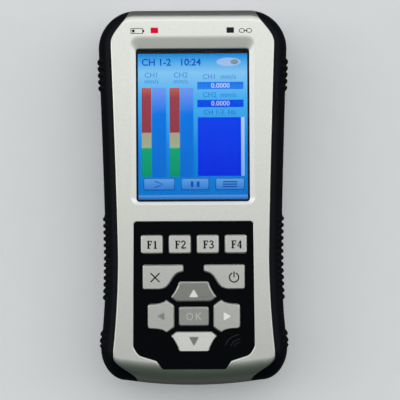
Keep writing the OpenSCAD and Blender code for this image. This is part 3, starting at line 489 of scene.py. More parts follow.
def face_stations(y0, y1, step=FACE_STEP):
    count = int((y1 - y0) / step)
    return [y0 + (y1 - y0) * i / count for i in range(count + 1)]


def face_outline(inset, y0, y1):
    return mirrored([(face_x(y) - inset, y) for y in face_stations(y0, y1)])


def skin_height(x, y):
    """Height of the silver skin above a point of the plan."""
    x = abs(x)
    cx, fx = TOP_CORNER_X, FOOT_CORNER_X

    def in_corner(dx, dy, rx, ry):
        return (dx / rx) ** 2 + (dy / ry) ** 2 <= 1

    def inside(z):
        side_in, top_in, foot_in = insets(z, SKIN_INSET, FRONT_Z, FACE_SIDE_ROLL)
        if y > TOP_Y and x > cx:
            return in_corner(x - cx, y - TOP_Y, TOP_CORNER_R - side_in, TOP_CORNER_R - top_in)
        if y > TOP_Y:
            return y <= HALF_LEN - top_in
        if y < FOOT_Y and x > fx:
            return in_corner(x - fx, FOOT_Y - y, FOOT_CORNER_W - side_in, FOOT_CORNER_L - foot_in)
        if y < FOOT_Y:
            return y >= -HALF_LEN + FOOT_BOW * (x / fx) ** 2 + foot_in
        return x <= side_x(y) - side_in

    if inside(FRONT_Z):
        return FRONT_Z
    low, high = SEAM_Z, FRONT_Z
    for _ in range(24):
        middle = (low + high) / 2
        if inside(middle):
            low = middle
        else:
            high = middle
    return low


# Case

def face_body():
    """Column under the silver face whose upper side edges are rounded along the skin."""
    stations = face_stations(-HALF_LEN - CUT, HALF_LEN + CUT, BODY_STEP)

    def ring(inset, height):
        return mirrored([(face_x(y) - inset, y, height(face_x(y) - EDGE_ROUND, y)) for y in stations])

    rings = [ring(0, lambda x, y: SEAM_Z)]
    for k in range(EDGE_STEPS + 1):
        a = math.radians(EDGE_TURN * k)
        lowest = SEAM_Z + LEVEL_GAP + LEVEL_GAP * k
        rise = EDGE_ROUND * EDGE_LIFT * math.sin(a)
        rings.append(ring(EDGE_ROUND * (1 - math.cos(a)),
                          lambda x, y: max(lowest, skin_height(x, y) - EDGE_ROUND + rise)))
    rings.append(ring(EDGE_ROUND, lambda x, y: FRONT_Z + BODY_OVER))
    return loft("front_shell_body", rings)


def opening(profile, outline_at):
    """Cutter that flares upwards: profile is a list of (growth, height)."""
    return loft("cutter", [[(x, y, z) for x, y in outline_at(g)] for g, z in profile])


def lip_profile(foot_z, top_z, r, steps=5):
    """Straight wall, then a lip rounded by r at the top."""
    points = [(0.0, foot_z), (0.0, top_z - r)]
    for k in range(1, steps + 1):
        a = math.pi / 2 * k / (steps + 0.5)
        points.append((r * (1 - math.cos(a)), top_z - r + r * math.sin(a)))
    return points + [(r * 1.02, top_z + CUT)]


def display_opening():
    """Aperture with its sloped surround; both edges of the slope are softened."""
    def outline(share):
        top = APERTURE_TOP + SLOPE_TOP * share
        foot = APERTURE_FOOT - SLOPE_FOOT * share
        r = APERTURE_R + (SLOPE_R - APERTURE_R) * share
        return rectangle(APERTURE_W + 2 * (SLOPE_SIDE * share), top - foot, r, (top + foot) / 2, 0, 10)

    low = FRONT_Z - SLOPE_DEPTH
    profile = [(0.0, SEAT_Z - CUT)]
    profile += bezier([(0.0, low - SLOPE_SOFT), (0.0, low), (0.1, low + 0.1 * SLOPE_DEPTH)], 3)
    crest = bezier([(0.8, low + 0.8 * SLOPE_DEPTH), (1.0, FRONT_Z), (SLOPE_END, FRONT_Z)], 7)
    profile += [(share, z + SLOPE_SKIM) for share, z in crest]
    return opening(profile + [(SLOPE_END + 0.01, FRONT_Z + CUT)], outline)


def inlay_outline(d=0.0):
    right = [(INLAY_FOOT_HALF_W * w, INLAY_TOP_Y - INLAY_LEN * h) for w, h in INLAY_FOOT]
    right.append((INLAY_TOP_HALF_W, INLAY_TOP_Y))
    return grown(rounded(mirrored(right), INLAY_RADII + INLAY_RADII[::-1], 8), d)


def on_both_sides(places):
    return [(side * x, y) for side in (-1, 1) for x, y in places]


# Screws of the case and pillars of the main board
SCREWS_AT = on_both_sides(((30.5, HALF_LEN - 12.5),
                           (INLAY_FOOT_HALF_W + INLAY_RIM + 3.2, -(HALF_LEN - 21))))
PILLARS_AT = on_both_sides(((9, HALF_LEN - 12.5), (33.4, -11), (24, -(HALF_LEN - 10.5))))
BOARD_TOP_Z = SEAT_Z - 6.5
BOSS_R = 3.2
BOSS_BORE_R = 1.45
BOSS_BORE_Z = 33
PILLAR_R = 2.2
PILLAR_BORE_R = 0.95
PILLAR_BORE_Z = 32.8
FRONT_TOP_WALL = 6
FRONT_FOOT_WALL = 7.2


def make_front_shell():
    levels = [SEAM_Z] + [z for z in front_levels(FRONT_Z, SKIN_STEPS) if z > SEAM_Z]
    shell = combine(skin_solid("front_shell_skin", levels), face_body(), "INTERSECT")
    room = face_outline(WALL, -(HALF_LEN - FRONT_FOOT_WALL), HALF_LEN - FRONT_TOP_WALL)
    cavity = prism(room, SEAM_Z - CUT, SEAT_Z)
    for x, y in SCREWS_AT:
        combine(cavity, rod(x, y, BOSS_R, SEAM_Z - 2 * CUT, SEAT_Z + CUT))
    for x, y in PILLARS_AT:
        combine(cavity, rod(x, y, PILLAR_R, BOARD_TOP_Z, SEAT_Z + CUT))
    combine(shell, cavity)
    combine(shell, display_opening())
    combine(shell, opening(lip_profile(SEAT_Z - CUT, FRONT_Z, LIP_ROUND), inlay_outline))
    lip = lip_profile(SEAT_Z - CUT, FRONT_Z, LAMP_LIP, 3)
    for side in (-1, 1):
        window = rectangle(LAMP_W, LAMP_H, LAMP_R, LAMP_Y, side * LAMP_X, 4)
        combine(shell, opening(lip, lambda g: grown(window, g)))
    for x, y in SCREWS_AT:
        combine(shell, rod(x, y, BOSS_BORE_R, SEAM_Z - CUT, BOSS_BORE_Z))
    for x, y in PILLARS_AT:
        combine(shell, rod(x, y, PILLAR_BORE_R, BOARD_TOP_Z - CUT, PILLAR_BORE_Z))
    shell.name = "front_shell_painted"
    return smooth(shell, SHELL_ANGLE)


def rib_bump(y, z):
    """How far a rib stands out of the grip at this place."""
    reach = min(z - RIB_LOW_Z + RIB_FADE / 2, RIB_HIGH_Z + RIB_FADE / 2 - z)
    fade = min(1.0, max(0.0, reach / RIB_FADE))
    if fade <= 0:
        return 0.0
    for top, count in RIB_GROUPS:
        for i in range(count):
            u = abs(y - (top - i * RIB_PITCH)) / (RIB_W / 2)
            if u < 1:
                return RIB_H * (1 - u ** RIB_CREST) ** RIB_FLANK * math.sin(math.pi / 2 * fade)
    return 0.0


def make_grip(name, side):
    """Rubber grip: the skin between the silver face and the silhouette, with its ribs."""
    low = [z for z in rear_levels(GRIP_Z) if z > GRIP_Z]
    walls = [low[-1] + GRIP_STEP * i for i in range(1, int((GRIP_MID_Z - low[-1]) / GRIP_STEP))]
    rings = []
    for z in [GRIP_Z] + low + walls + front_levels(GRIP_TOP_Z, GRIP_TOP_STEPS):
        half = half_ring(*insets(z, 0.0, GRIP_TOP_Z, GRIP_ROLL))
        rings.append([(side * (x + (rib_bump(y, z) if FOOT_Y < y < TOP_Y else 0)), y, z)
                      for x, y in half])
    grip = loft(name, rings)
    combine(grip, prism(face_outline(0, -HALF_LEN - CUT, HALF_LEN + CUT), 0, FRONT_Z + 1))
    return smooth(grip, GRIP_ANGLE)


# Socket panel and its seat in the top end
PANEL_Z = SEAM_Z - 9.0
PANEL_HALF_W = 26.0
PANEL_HALF_H = 7.5
PANEL_R = 1.2
PANEL_IN = 3.2
PANEL_SEAT_HALF_W = 28
PANEL_SEAT_IN = (5.6, 2.6)
PANEL_SEAT_DROP = 9
# Battery door, its rails, and the bay with its cable slot
DOOR_HALF_W = 21.0
DOOR_GAP = 0.25
FLANGE_LAP = 1.3
DOOR_Y = -14.0
END_WALL = 5
DOOR_END_Y = -(HALF_LEN - END_WALL)
DOOR_LIP_Z = 9.25
RAIL_TOP_Z = 3.5
BAY_HALF_W = 20.3
BAY_OUT_HALF_W = 23.75
BAY_TOP_Y = DOOR_Y - 0.55
BAY_FOOT_Y = -(HALF_LEN - 9.75)
BAY_Z = 22.35
BAY_WALL = 1.5
CABLE_HALF_W = 8
CABLE_Z = (12, 18)
# Screw wells and the recess for a rating label
REAR_BOSS_R = 4.2
WELL_R = 3.0
WELL_Z = 14
SHANK_R = 1.7
LABEL = (50, 26, 1.0, DOOR_Y + 50)
LABEL_SINK = 0.4


def make_rear_shell():
    walls = [z for z in front_levels(FRONT_Z, SKIN_STEPS) if z < SEAM_Z]
    shell = skin_solid("rear_shell_moulded", rear_levels(0) + walls + [SEAM_Z])
    sides = block(-TOP_W, TOP_W, -2 * HALF_LEN, 2 * HALF_LEN, GRIP_Z, SEAM_Z + CUT)
    middle = face_outline(0, -HALF_LEN - 2 * CUT, HALF_LEN + 2 * CUT)
    combine(sides, prism(middle, GRIP_Z - CUT, SEAM_Z + 2 * CUT))
    combine(shell, sides)
    cavity = prism(face_outline(WALL, DOOR_END_Y, HALF_LEN - END_WALL), REAR_WALL, SEAM_Z + CUT)
    combine(cavity, block(-BAY_OUT_HALF_W, BAY_OUT_HALF_W, BAY_FOOT_Y - BAY_WALL,
                          BAY_TOP_Y + BAY_WALL, 0, BAY_Z + BAY_WALL))
    for x, y in SCREWS_AT:
        combine(cavity, rod(x, y, REAR_BOSS_R, 0, SEAM_Z + 2 * CUT))
    combine(shell, cavity)
    seat, end = DOOR_HALF_W + DOOR_GAP, -HALF_LEN - CUT
    deep, shallow = PANEL_SEAT_IN
    for x, y0, y1, z0, z1 in (
            (BAY_HALF_W, BAY_FOOT_Y, BAY_TOP_Y, REAR_WALL, BAY_Z),
            (CABLE_HALF_W, BAY_TOP_Y - CUT, BAY_TOP_Y + BAY_WALL + CUT, *CABLE_Z),
            (seat, end, DOOR_Y + DOOR_GAP, -CUT, RAIL_TOP_Z),
            (seat + FLANGE_LAP, end, DOOR_Y + DOOR_GAP, REAR_WALL, RAIL_TOP_Z),
            (seat, end, DOOR_END_Y + DOOR_GAP, -CUT, DOOR_LIP_Z),
            (PANEL_SEAT_HALF_W, HALF_LEN - deep, HALF_LEN - shallow,
             PANEL_Z - PANEL_SEAT_DROP, SEAM_Z + CUT)):
        combine(shell, block(-x, x, y0, y1, z0, z1))
    panel = rectangle(2 * PANEL_HALF_W, 2 * PANEL_HALF_H, PANEL_R, PANEL_Z)
    combine(shell, loft("cutter", [[(x, y, z) for x, z in panel]
                                   for y in (HALF_LEN - PANEL_IN, HALF_LEN + CUT)]))
    for x, y in SCREWS_AT:
        combine(shell, rod(x, y, WELL_R, -CUT, WELL_Z))
        combine(shell, rod(x, y, SHANK_R, 0, SEAM_Z + CUT))
    combine(shell, prism(rectangle(*LABEL), -CUT, LABEL_SINK))
    return smooth(shell, SHELL_ANGLE)


# Keypad

def softened(before, corner, after, r, steps=5):
    """Curve round a corner that starts and ends r away from it."""
    def toward(p):
        length = math.hypot(p[0] - corner[0], p[1] - corner[1])
        share = min(r, 0.48 * length) / length
        return (corner[0] + (p[0] - corner[0]) * share, corner[1] + (p[1] - corner[1]) * share)
    return bezier([toward(before), corner, toward(after)], steps)


def swept_outline():
    """Key whose inner lower corner is swept away, its outer side at the left."""
    w, h, r = SWEPT_W, SWEPT_H, KEY_CORNER_R
    low, high = -h / 2, h / 2
    p = [(w * (s - 0.5), h * (t - 0.5)) for s, t in SWEEP]
    out = softened((-w / 2, low), (-w / 2, high), (w / 2, high), r)
    out += softened((-w / 2, high), (w / 2, high), p[0], r)
    sweep = bezier(p, 18)
    out += softened((w / 2, high), p[0], sweep[2], SWEPT_TIP_R, 3) + sweep[2:]
    return anticlockwise(out + softened(p[3], (-w / 2, low), (-w / 2, high), r))


def arrow_outline(reach, shares):
    """Direction key along +Y from the pad's middle."""
    p = [(reach * s[1], reach * s[0]) for s in shares]
    r = ARROW_END_R
    flare = bezier([p[1], p[2], (p[3][0], p[3][1] - r)], 12)
    right = softened((-p[0][0], p[0][1]), p[0], p[1], ARROW_FOOT_R) + softened(p[0], p[1],
                                                                               flare[2], TIP_R, 3)
    right += flare[2:] + bezier([(p[3][0], p[3][1] - r), p[3], (p[3][0] - r, p[3][1])], 6)[1:]
    return mirrored(right)


def dish(direction, reach, start_share, drop):
    """Height of the dished pad: lower towards its middle."""
    start = reach * start_share
    return lambda x, y: KEY_TOP_Z - drop * (1 - min(1, max(0, (
        x * direction[0] + (y - PAD_Y) * direction[1] - start) / (reach - start))))


def flat_top(x, y):
    return FLAT_TOP_Z


# Direction keys: direction, reach, shares of the outline, turn and depth of the dish
ARROWS = {
    "up": ((0, 1), PAD_REACH_UP, ARROW_Y, 0, PAD_DROP),
    "down": ((0, -1), PAD_REACH_Y, ARROW_Y, 180, DOWN_DROP),
    "left": ((-1, 0), PAD_REACH_X, ARROW_X, 90, PAD_DROP),
    "right": ((1, 0), PAD_REACH_X, ARROW_X, -90, PAD_DROP),
}
# Outline and height of the top of each key
KEYS = {}
for number in range(4):
    fkey_x = (number - 1.5) * FKEY_PITCH + FKEY_X
    KEYS["f%d" % (number + 1)] = (rectangle(FKEY_W, FKEY_H, KEY_CORNER_R, FKEY_Y, fkey_x), flat_top)
KEYS["cancel"] = (moved(swept_outline(), -SWEPT_X, SWEPT_Y), flat_top)
KEYS["power"] = (moved(swept_outline(), SWEPT_X, SWEPT_Y, 0, True), flat_top)
for arrow, (way, reach, shares, turn, drop) in ARROWS.items():
    KEYS[arrow] = (moved(arrow_outline(reach, shares), 0, PAD_Y, turn),
                   dish(way, reach, shares[0][0], drop))
KEYS["ok"] = (rectangle(OK_W, OK_H, KEY_CORNER_R, PAD_Y),
              lambda x, y: KEY_TOP_Z - OK_DROP + OK_TILT * (y - PAD_Y))


def make_key(name):
    outline, top = KEYS[name]
    wide = grown(outline, KEY_FLANGE)
    shoulder = KEY_FOOT_Z + KEY_FLANGE_T
    rings = [[(x, y, KEY_FOOT_Z) for x, y in wide], [(x, y, shoulder) for x, y in wide],
             [(x, y, shoulder + 0.01) for x, y in outline]]
    for k in range(6):
        a = math.radians(15 * k)
        ring = grown(outline, -KEY_BEVEL * (1 - math.cos(a)))
        rings.append([(x, y, top(x, y) - KEY_BEVEL + KEY_BEVEL * math.sin(a)) for x, y in ring])
    return loft("key_%s_cap" % name, rings)


# Each arrow's distance from the pad's middle, width, height, turn and slope of its floor
TRIANGLES = {"up": (11.35, 4.6, 3.9, 0, -0.08), "down": (12.2, 4.8, 4.4, 180, 0.1),
             "left": (16.2, 4.2, 3.6, 90, 0.08), "right": (16.4, 4.2, 3.6, -90, -0.12)}
TRIANGLE_R = 0.25
TRIANGLE_FLARE = 0.25
TRIANGLE_SINK = 0.1


def engrave_triangle(key, name):
    """Arrow sunk into the key down to a tilted floor."""
    along, w, h, turn, slope = TRIANGLES[name]
    points = [(-w / 2, along - h / 2), (w / 2, along - h / 2), (0, along + h / 2)]
    outline = moved(rounded(points, TRIANGLE_R, 4), 0, PAD_Y, turn)
    top = KEYS[name][1]
    middle = sum(py for _, py in outline) / len(outline)
    floor_z = min(top(px, py) - slope * (py - middle) for px, py in outline) - TRIANGLE_SINK
    floor = [(px, py, floor_z + slope * (py - middle)) for px, py in outline]
    mouth = [(px, py, KEY_TOP_Z + CUT) for px, py in grown(outline, TRIANGLE_FLARE)]
    combine(key, loft("cutter", [floor, mouth]))


def ribbon(points, width, z0, z1):
    """Flat stroke along an open line."""
    left, right = [], []
    for i, (x, y) in enumerate(points):
        ax, ay = points[max(0, i - 1)]
        bx, by = points[min(len(points) - 1, i + 1)]
        length = math.hypot(bx - ax, by - ay)
        nx, ny = -(by - ay) / length * width / 2, (bx - ax) / length * width / 2
        left.append((x + nx, y + ny))
        right.append((x - nx, y - ny))
    return prism(anticlockwise(left + right[::-1]), z0, z1)


def band(outer, inner, z0, z1):
    """Flat closed band between two loops of as many points."""
    bm = bmesh.new()
    loops = [[bm.verts.new((x * MM, y * MM, z * MM)) for x, y in ring]
             for z in (z0, z1) for ring in (outer, inner)]
    count = len(outer)
    for i in range(count):
        j = (i + 1) % count
        for a, b in ((0, 1), (1, 3), (3, 2), (2, 0)):
            bm.faces.new((loops[a][i], loops[a][j], loops[b][j], loops[b][i]))
    return mesh_object("band", bm)


def ring_band(x, y, rx, ry, width, z0, z1):
    return band(oval(x, y, rx, ry), oval(x, y, rx - width, ry - width), z0, z1)


def merged(name, parts):
    """One object of several solids."""
    bm = bmesh.new()
    for part in parts:
        bm.from_mesh(part.data)
        data = part.data
        bpy.data.objects.remove(part)
        bpy.data.meshes.remove(data)
    return mesh_object(name, bm)


# Glyphs as strokes in a cell one wide and two high: points, then width
THICK, THIN = 0.36, 0.19
GLYPHS = {
    "F": (((0.28, 0.0), (0.28, 2.0), THICK), ((0.0, 0.06), (0.6, 0.06), THIN),
          ((0.0, 1.94), (0.98, 1.94), THIN), ((0.93, 1.99), (0.93, 1.5), THIN),
          ((0.3, 1.05), (0.75, 1.05), THIN), ((0.72, 1.3), (0.72, 0.8), THIN)),
    "1": (((0.5, 0.0), (0.5, 2.0), THICK), ((0.2, 0.06), (0.82, 0.06), THIN),
          ((0.16, 1.68), (0.5, 1.92), THIN)),
    "2": (((0.1, 1.5), (0.2, 1.83), (0.5, 1.97), (0.8, 1.8), (0.88, 1.45), (0.7, 1.05),
           (0.38, 0.6), (0.12, 0.12), 0.27),
          ((0.08, 0.1), (0.92, 0.1), 0.27), ((0.9, 0.05), (0.94, 0.45), THIN)),
    "3": (((0.12, 1.6), (0.25, 1.87), (0.5, 1.95), (0.76, 1.82), (0.82, 1.5), (0.68, 1.18),
           (0.38, 1.06), 0.26),
          ((0.38, 1.06), (0.72, 0.95), (0.88, 0.6), (0.8, 0.22), (0.5, 0.04), (0.22, 0.12),
           (0.1, 0.4), 0.27)),
    "4": (((0.66, 0.0), (0.66, 2.0), 0.33), ((0.62, 1.95), (0.06, 0.62), THIN),
          ((0.04, 0.58), (0.98, 0.58), THIN), ((0.42, 0.05), (0.9, 0.05), THIN)),
    "K": (((0.12, 0.0), (0.12, 2.0), 0.24), ((0.14, 0.85), (0.9, 1.97), 0.2),
          ((0.36, 1.15), (0.95, 0.03), 0.24)),
}


def glyph(letter, x, y, w, h, z0, z1):
    """Strokes of a letter whose lower left corner is at x, y."""
    out = []
    for stroke in GLYPHS[letter]:
        points = [(x + px * w, y + py * h / 2) for px, py in stroke[:-1]]
        out.append(ribbon(points, stroke[-1] * w, z0, z1))
    return out


# Printed marks: how deep they dip and how far they stand out, and their places
PRINT_DIP = 0.02
KEY_PRINT_T = 0.05
MARK_T = 0.03
LETTER_W, LETTER_H = 2.3, 3.7
LEGEND_X, LEGEND_Y = 0.5, -1.95
LETTER_X, DIGIT_X = -2.55, 0.3
CROSS = (-18.8, -39.0, 2.15, 0.62)
STANDBY = (19.7, -38.9, 2.25, 0.6)
STANDBY_ARC = (30, 112, 316)
OK_RING = (-2.1, PAD_Y, 1.7, 1.85, 0.5)
OK_K = (0.9, PAD_Y - 1.8, 2.7, 3.6)
WAVES = ((23.6, -73.8, 6.8, 0.32), (23.6, -73.8, 4.6, 0.28), (23.0, -73.6, 2.8, 0.24))
WAVE_STRETCH = 1.25
WAVE_ARC = (20, 100, 68)


def print_on_flat_key(name):
    z = FLAT_TOP_Z - PRINT_DIP, FLAT_TOP_Z + KEY_PRINT_T
    if name[0] == "f":
        x = (int(name[1]) - 2.5) * FKEY_PITCH + LEGEND_X
        y = FKEY_Y + LEGEND_Y
        parts = (glyph("F", x + LETTER_X, y, LETTER_W, LETTER_H, *z)
                 + glyph(name[1], x + DIGIT_X, y, LETTER_W, LETTER_H, *z))
    elif name == "cancel":
        x, y, r, width = CROSS
        parts = [ribbon([(x - r, y - r), (x + r, y + r)], width, *z),
                 ribbon([(x - r, y + r), (x + r, y - r)], width, *z)]
    else:
        x, y, r, width = STANDBY
        parts = [ribbon(oval(x, y - 0.2, r, r, *STANDBY_ARC), width, *z),
                 ribbon([(x, y - 0.1), (x, y + 2.7)], width, *z)]
    return merged("key_%s_legend" % name, parts)


def engrave_ok(key):
    top = KEY_TOP_Z - OK_DROP
    z = top - OK_SINK, top + CUT
    for cutter in [ring_band(*OK_RING, *z)] + glyph("K", *OK_K, *z):
        combine(key, cutter)


def make_keypad_panel():
    top, low = INLAY_TOP_Z, INLAY_LOW[2]
    profile = [(-INLAY_FIT, low), (-INLAY_FIT, top - INLAY_EDGE_R)]
    for a in (math.radians(degrees) for degrees in (22, 45, 68, 90)):
        profile.append((-INLAY_FIT - INLAY_EDGE_R * (1 - math.cos(a)),
                        top - INLAY_EDGE_R + INLAY_EDGE_R * math.sin(a)))
    plate = opening(profile, inlay_outline)
    combine(plate, prism(inlay_outline(INLAY_RIM), low, SEAT_Z - RIM_GAP), "UNION")
    lip = lip_profile(low - CUT, top, KEY_LIP, 3)
    for outline, _ in KEYS.values():
        combine(plate, opening(lip, lambda g: grown(outline, KEY_GAP + g)))
    plate.name = "keypad_inlay"
    return smooth(plate, INLAY_ANGLE)


def make_wave_mark():
    """Three faint arcs printed at the lower right of the inlay."""
    z = INLAY_TOP_Z - PRINT_DIP, INLAY_TOP_Z + MARK_T
    return merged("wave_mark", [ribbon(oval(x, y, r * WAVE_STRETCH, r, *WAVE_ARC), width, *z)
                                for x, y, r, width in WAVES])


# Front details

def make_lamp_icons():
    """A battery and a link mark printed beside the indicator windows."""
    z = FRONT_Z - PRINT_DIP, FRONT_Z + MARK_T
    x, y = -LAMP_X - 8.6, LAMP_Y - 0.2
    w, h, line = 6.0, 2.7, 0.3
    outer = corners(x - w / 2, x + w / 2, y - h / 2, y + h / 2)
    parts = [band(outer, grown(outer, -line), *z),
             block(x + w / 2, x + w / 2 + 0.6, y - 0.6, y + 0.6, *z),
             block(x - w / 2 + 0.7, x - w / 2 + 1.9, y - h / 2 + 0.65, y + h / 2 - 0.65, *z)]
    x = LAMP_X + 7.4
    rx, ry, line, apart = 1.5, 1.1, 0.32, 1.7
    parts += [ring_band(x - apart, y, rx, ry, line, *z), ring_band(x + apart, y, rx, ry, line, *z),
              block(x - 1.0, x + 1.0, y - 0.17, y + 0.17, *z)]
    return merged("lamp_icons", parts)


# Lit picture: pixel positions of its own grid are turned into places on the panel
LAYER = 0.045
WELD = 0.0005
PX_W = 108.8
PX_H = 146.0


def at(px, py):
    return (px / PX_W - 0.5) * LIT_W, LIT_Y + LIT_H / 2 - py / PX_H * LIT_H


def patch(x0, y0, x1, y1, layer, r=0.0):
    (ax, ay), (bx, by) = at(x0, y0), at(x1, y1)
    outline = corners(ax, bx, by, ay)
    if r:
        outline = rounded(outline, r, 6)
    z = PICTURE_Z + layer * LAYER
    return prism(outline, z, z + LAYER)


def words(text, px, py, size_px, align="CENTER", bold=0.0, layer=2):
    """Plain characters of the built-in font as thin solids."""
    curve = bpy.data.curves.new("words", "FONT")
    curve.body = text
    curve.size = size_px / PX_H * LIT_H * MM
    curve.align_x = align
    curve.align_y = "CENTER"
    curve.extrude = LAYER / 2 * MM
    curve.offset = bold * MM
    curve.resolution_u = 3
    obj = link(bpy.data.objects.new("words", curve))
    x, y = at(px, py)
    z = PICTURE_Z + (layer + 0.5) * LAYER
    obj.location = (x * MM, y * MM, z * MM)
    bpy.context.view_layer.update()
    mesh = bpy.data.meshes.new_from_object(obj.evaluated_get(bpy.context.evaluated_depsgraph_get()))
    mesh.transform(obj.matrix_world)
    bpy.data.objects.remove(obj)
    bpy.data.curves.remove(curve)
    bm = bmesh.new()
    bm.from_mesh(mesh)
    bpy.data.meshes.remove(mesh)
    bmesh.ops.remove_doubles(bm, verts=bm.verts, dist=WELD * MM)
    return mesh_object("words", bm)


def pixel_stroke(points, width, layer):
    z = PICTURE_Z + layer * LAYER
    return ribbon([at(*p) for p in points], width, z, z + LAYER)


# Both bars and the columns beside them, and the heights where the bars' colours meet
BAR_X = ((3.5, 13.2, 13.8, 27.9), (31.3, 41.4, 41.8, 55.0))
BAR_Y = (34.2, 79.0, 94.4, 123.1)
BUTTON_X = ((5.6, 35.5), (43.0, 69.6), (77.2, 104.9))


def bar_boxes(left, right, top, foot):
    return [(x[left], BAR_Y[top], x[right], BAR_Y[foot]) for x in BAR_X]


# Layer, corner radius, and boxes by left, top, right and foot
PATCHES = {
    "red": (1, 0, bar_boxes(0, 1, 0, 1)),
    "beige": (1, 0, bar_boxes(0, 1, 1, 2)),
    "green": (1, 0, bar_boxes(0, 1, 2, 3)),
    "column": (1, 0, bar_boxes(2, 3, 0, 3)),
    "value_1": (1, 0, [(59, 28.4, 104.9, 35.8)]),
    "value_2": (1, 0, [(59, 46.3, 104.9, 53.7)]),
    "result": (1, 0, [(59.3, 63.8, 102.2, 122.6)]),
    "scroll": (1, 0, [(102.4, 63.8, 105.8, 122.6)]),
    "buttons": (1, 0.7, [(x0, 125.3, x1, 136.1) for x0, x1 in BUTTON_X]),
    "button_rims": (0, 0.9, [(x0 - 0.7, 124.6, x1 + 0.7, 136.8) for x0, x1 in BUTTON_X]),
    "status": (1, 0, [(0, 141.6, PX_W, PX_H)]),
}
FIELD_LAYER = -0.4
MASK_SIDE = 1.6
MASK_END = 2.8
SWITCH = (90.2, 8.4, 6.0, 2.1, 32)
SWITCH_DOT = (96, 8.4, 1.9, 1.2, 24)
VALUES = (("0.0000", 82, 32.2, 6.9), ("0.0000", 82, 50.1, 6.9))
TITLE = ("CH 1-2   10:24", 3.5, 8.9, 9.8, "LEFT", 0.09)
LABELS = (("CH1", 13.5, 21.6, 7.4), ("mm/s", 13.5, 27.8, 6.6), ("CH2", 42.5, 21.6, 7.4),
          ("mm/s", 42.5, 27.8, 6.6), ("CH1  mm/s", 81, 23.4, 7.2), ("CH2  mm/s", 81, 41.4, 7.2),
          ("CH 1-2  Hz", 81, 59.0, 6.8))
PLAY = [(16.5, 127.6), (24.5, 130.7), (16.5, 133.8)]
PAUSE_AND_LIST = ((52.0, 128.0, 54.6, 133.4), (58.0, 128.0, 60.6, 133.4),
                  (84.0, 127.8, 98.2, 129.0), (84.0, 130.2, 98.2, 131.4), (84.0, 132.6, 98.2, 133.8))


def picture_parts():
    """Pieces of the lit picture by colour."""
    z = PICTURE_Z

    def dot(px, py, rx, ry, steps, layer):
        return [prism(oval(*at(px, py), rx, ry, steps), z + layer * LAYER, z + (layer + 1) * LAYER)]

    inner = [at(0, PX_H), at(PX_W, PX_H), at(PX_W, 0), at(0, 0)]
    outer = [(x + math.copysign(MASK_SIDE, x), y + math.copysign(MASK_END, y - LIT_Y))
             for x, y in inner]
    parts = {"field": [patch(0, 0, PX_W, PX_H, FIELD_LAYER)],
             "mask": [band(outer, inner, z - 0.5 * LAYER, z + 0.5 * LAYER)]}
    for name, (layer, r, boxes) in PATCHES.items():
        parts[name] = [patch(*box, layer, r) for box in boxes]
    parts["oval"] = dot(*SWITCH, 1)
    parts["white_text"] = [words(*value) for value in VALUES]
    parts["title_text"] = [words(*TITLE)]
    parts["label_text"] = [words(*label) for label in LABELS]
    parts["icons"] = [pixel_stroke(PLAY, 0.55, 2)] + [patch(*box, 2) for box in PAUSE_AND_LIST]
    parts["oval_mark"] = dot(*SWITCH_DOT, 2)
    return parts


# Materials

def lin(r, g, b):
    """Linear colour of an eight-bit one."""
    def linear(v):
        return ((v / 255 + 0.055) / 1.055) ** 2.4 if v > 10 else v / 255 / 12.92
    return linear(r), linear(g), linear(b), 1.0


def new_material(name):
    material = bpy.data.materials.new(name)
    material.use_nodes = True
    return material, material.node_tree.nodes


def wire(source, output, target, socket):
    source.id_data.links.new(source.outputs[output], target.inputs[socket])


def put(node, **values):
    """Sets a node's inputs by name, where an underscore stands for a space."""
    for key, value in values.items():
        node.inputs[key.replace("_", " ")].default_value = value
    return node


def ramp_node(nodes, stops):
    ramp = nodes.new("ShaderNodeValToRGB")
    elements = ramp.color_ramp.elements
    while len(elements) < len(stops):
        elements.new(0.5)
    for element, (position, color) in zip(elements, stops):
        element.position = position
        element.color = (*color[:3], 1.0)
    return ramp


def surface(name, color, rough, metallic=0.0, grain=900.0, spread=0.08, bump=0.03, bump_mm=0.05,
            **sockets):
    """Principled surface whose tone and relief vary with a fine noise."""
    material, nodes = new_material(name)
    bsdf = put(nodes["Principled BSDF"], Roughness=rough, Metallic=metallic, **sockets)
    place = nodes.new("ShaderNodeTexCoord")
    noise = put(nodes.new("ShaderNodeTexNoise"), Scale=grain, Detail=3.0)
    wire(place, "Object", noise, "Vector")
    ramp = ramp_node(nodes, [(0.3, [c * (1 - spread) for c in color]),
                             (0.7, [min(1, c * (1 + spread)) for c in color])])
    wire(noise, "Fac", ramp, "Fac")
    wire(ramp, "Color", bsdf, "Base Color")
    relief = put(nodes.new("ShaderNodeBump"), Strength=bump, Distance=bump_mm * MM)
    wire(noise, "Fac", relief, "Height")
    wire(relief, "Normal", bsdf, "Normal")
    return material


RIPPLE = 0.04
RIPPLE_GRAIN = 90


def glow(name, stops, axis, low, high, ripple=RIPPLE):
    """Lit colour that changes along an axis between two places."""
    material, nodes = new_material(name)
    nodes.remove(nodes["Principled BSDF"])
    place = nodes.new("ShaderNodeTexCoord")
    split = nodes.new("ShaderNodeSeparateXYZ")
    wire(place, "Object", split, "Vector")
    noise = put(nodes.new("ShaderNodeTexNoise"), Scale=RIPPLE_GRAIN)
    wire(place, "Object", noise, "Vector")
    reach = put(nodes.new("ShaderNodeMapRange"), From_Min=low * MM, From_Max=high * MM)
    wire(split, axis, reach, "Value")
    stir = nodes.new("ShaderNodeMath")
    stir.operation = "MULTIPLY_ADD"
    stir.inputs[1].default_value = ripple
    wire(noise, "Fac", stir, 0)
    wire(reach, "Result", stir, 2)
    ramp = ramp_node(nodes, [(position, lin(*color)) for position, color in stops])
    wire(stir, "Value", ramp, "Fac")
    light = put(nodes.new("ShaderNodeEmission"), Strength=1.0)
    wire(ramp, "Color", light, "Color")
    wire(light, "Emission", nodes["Material Output"], "Surface")
    return material


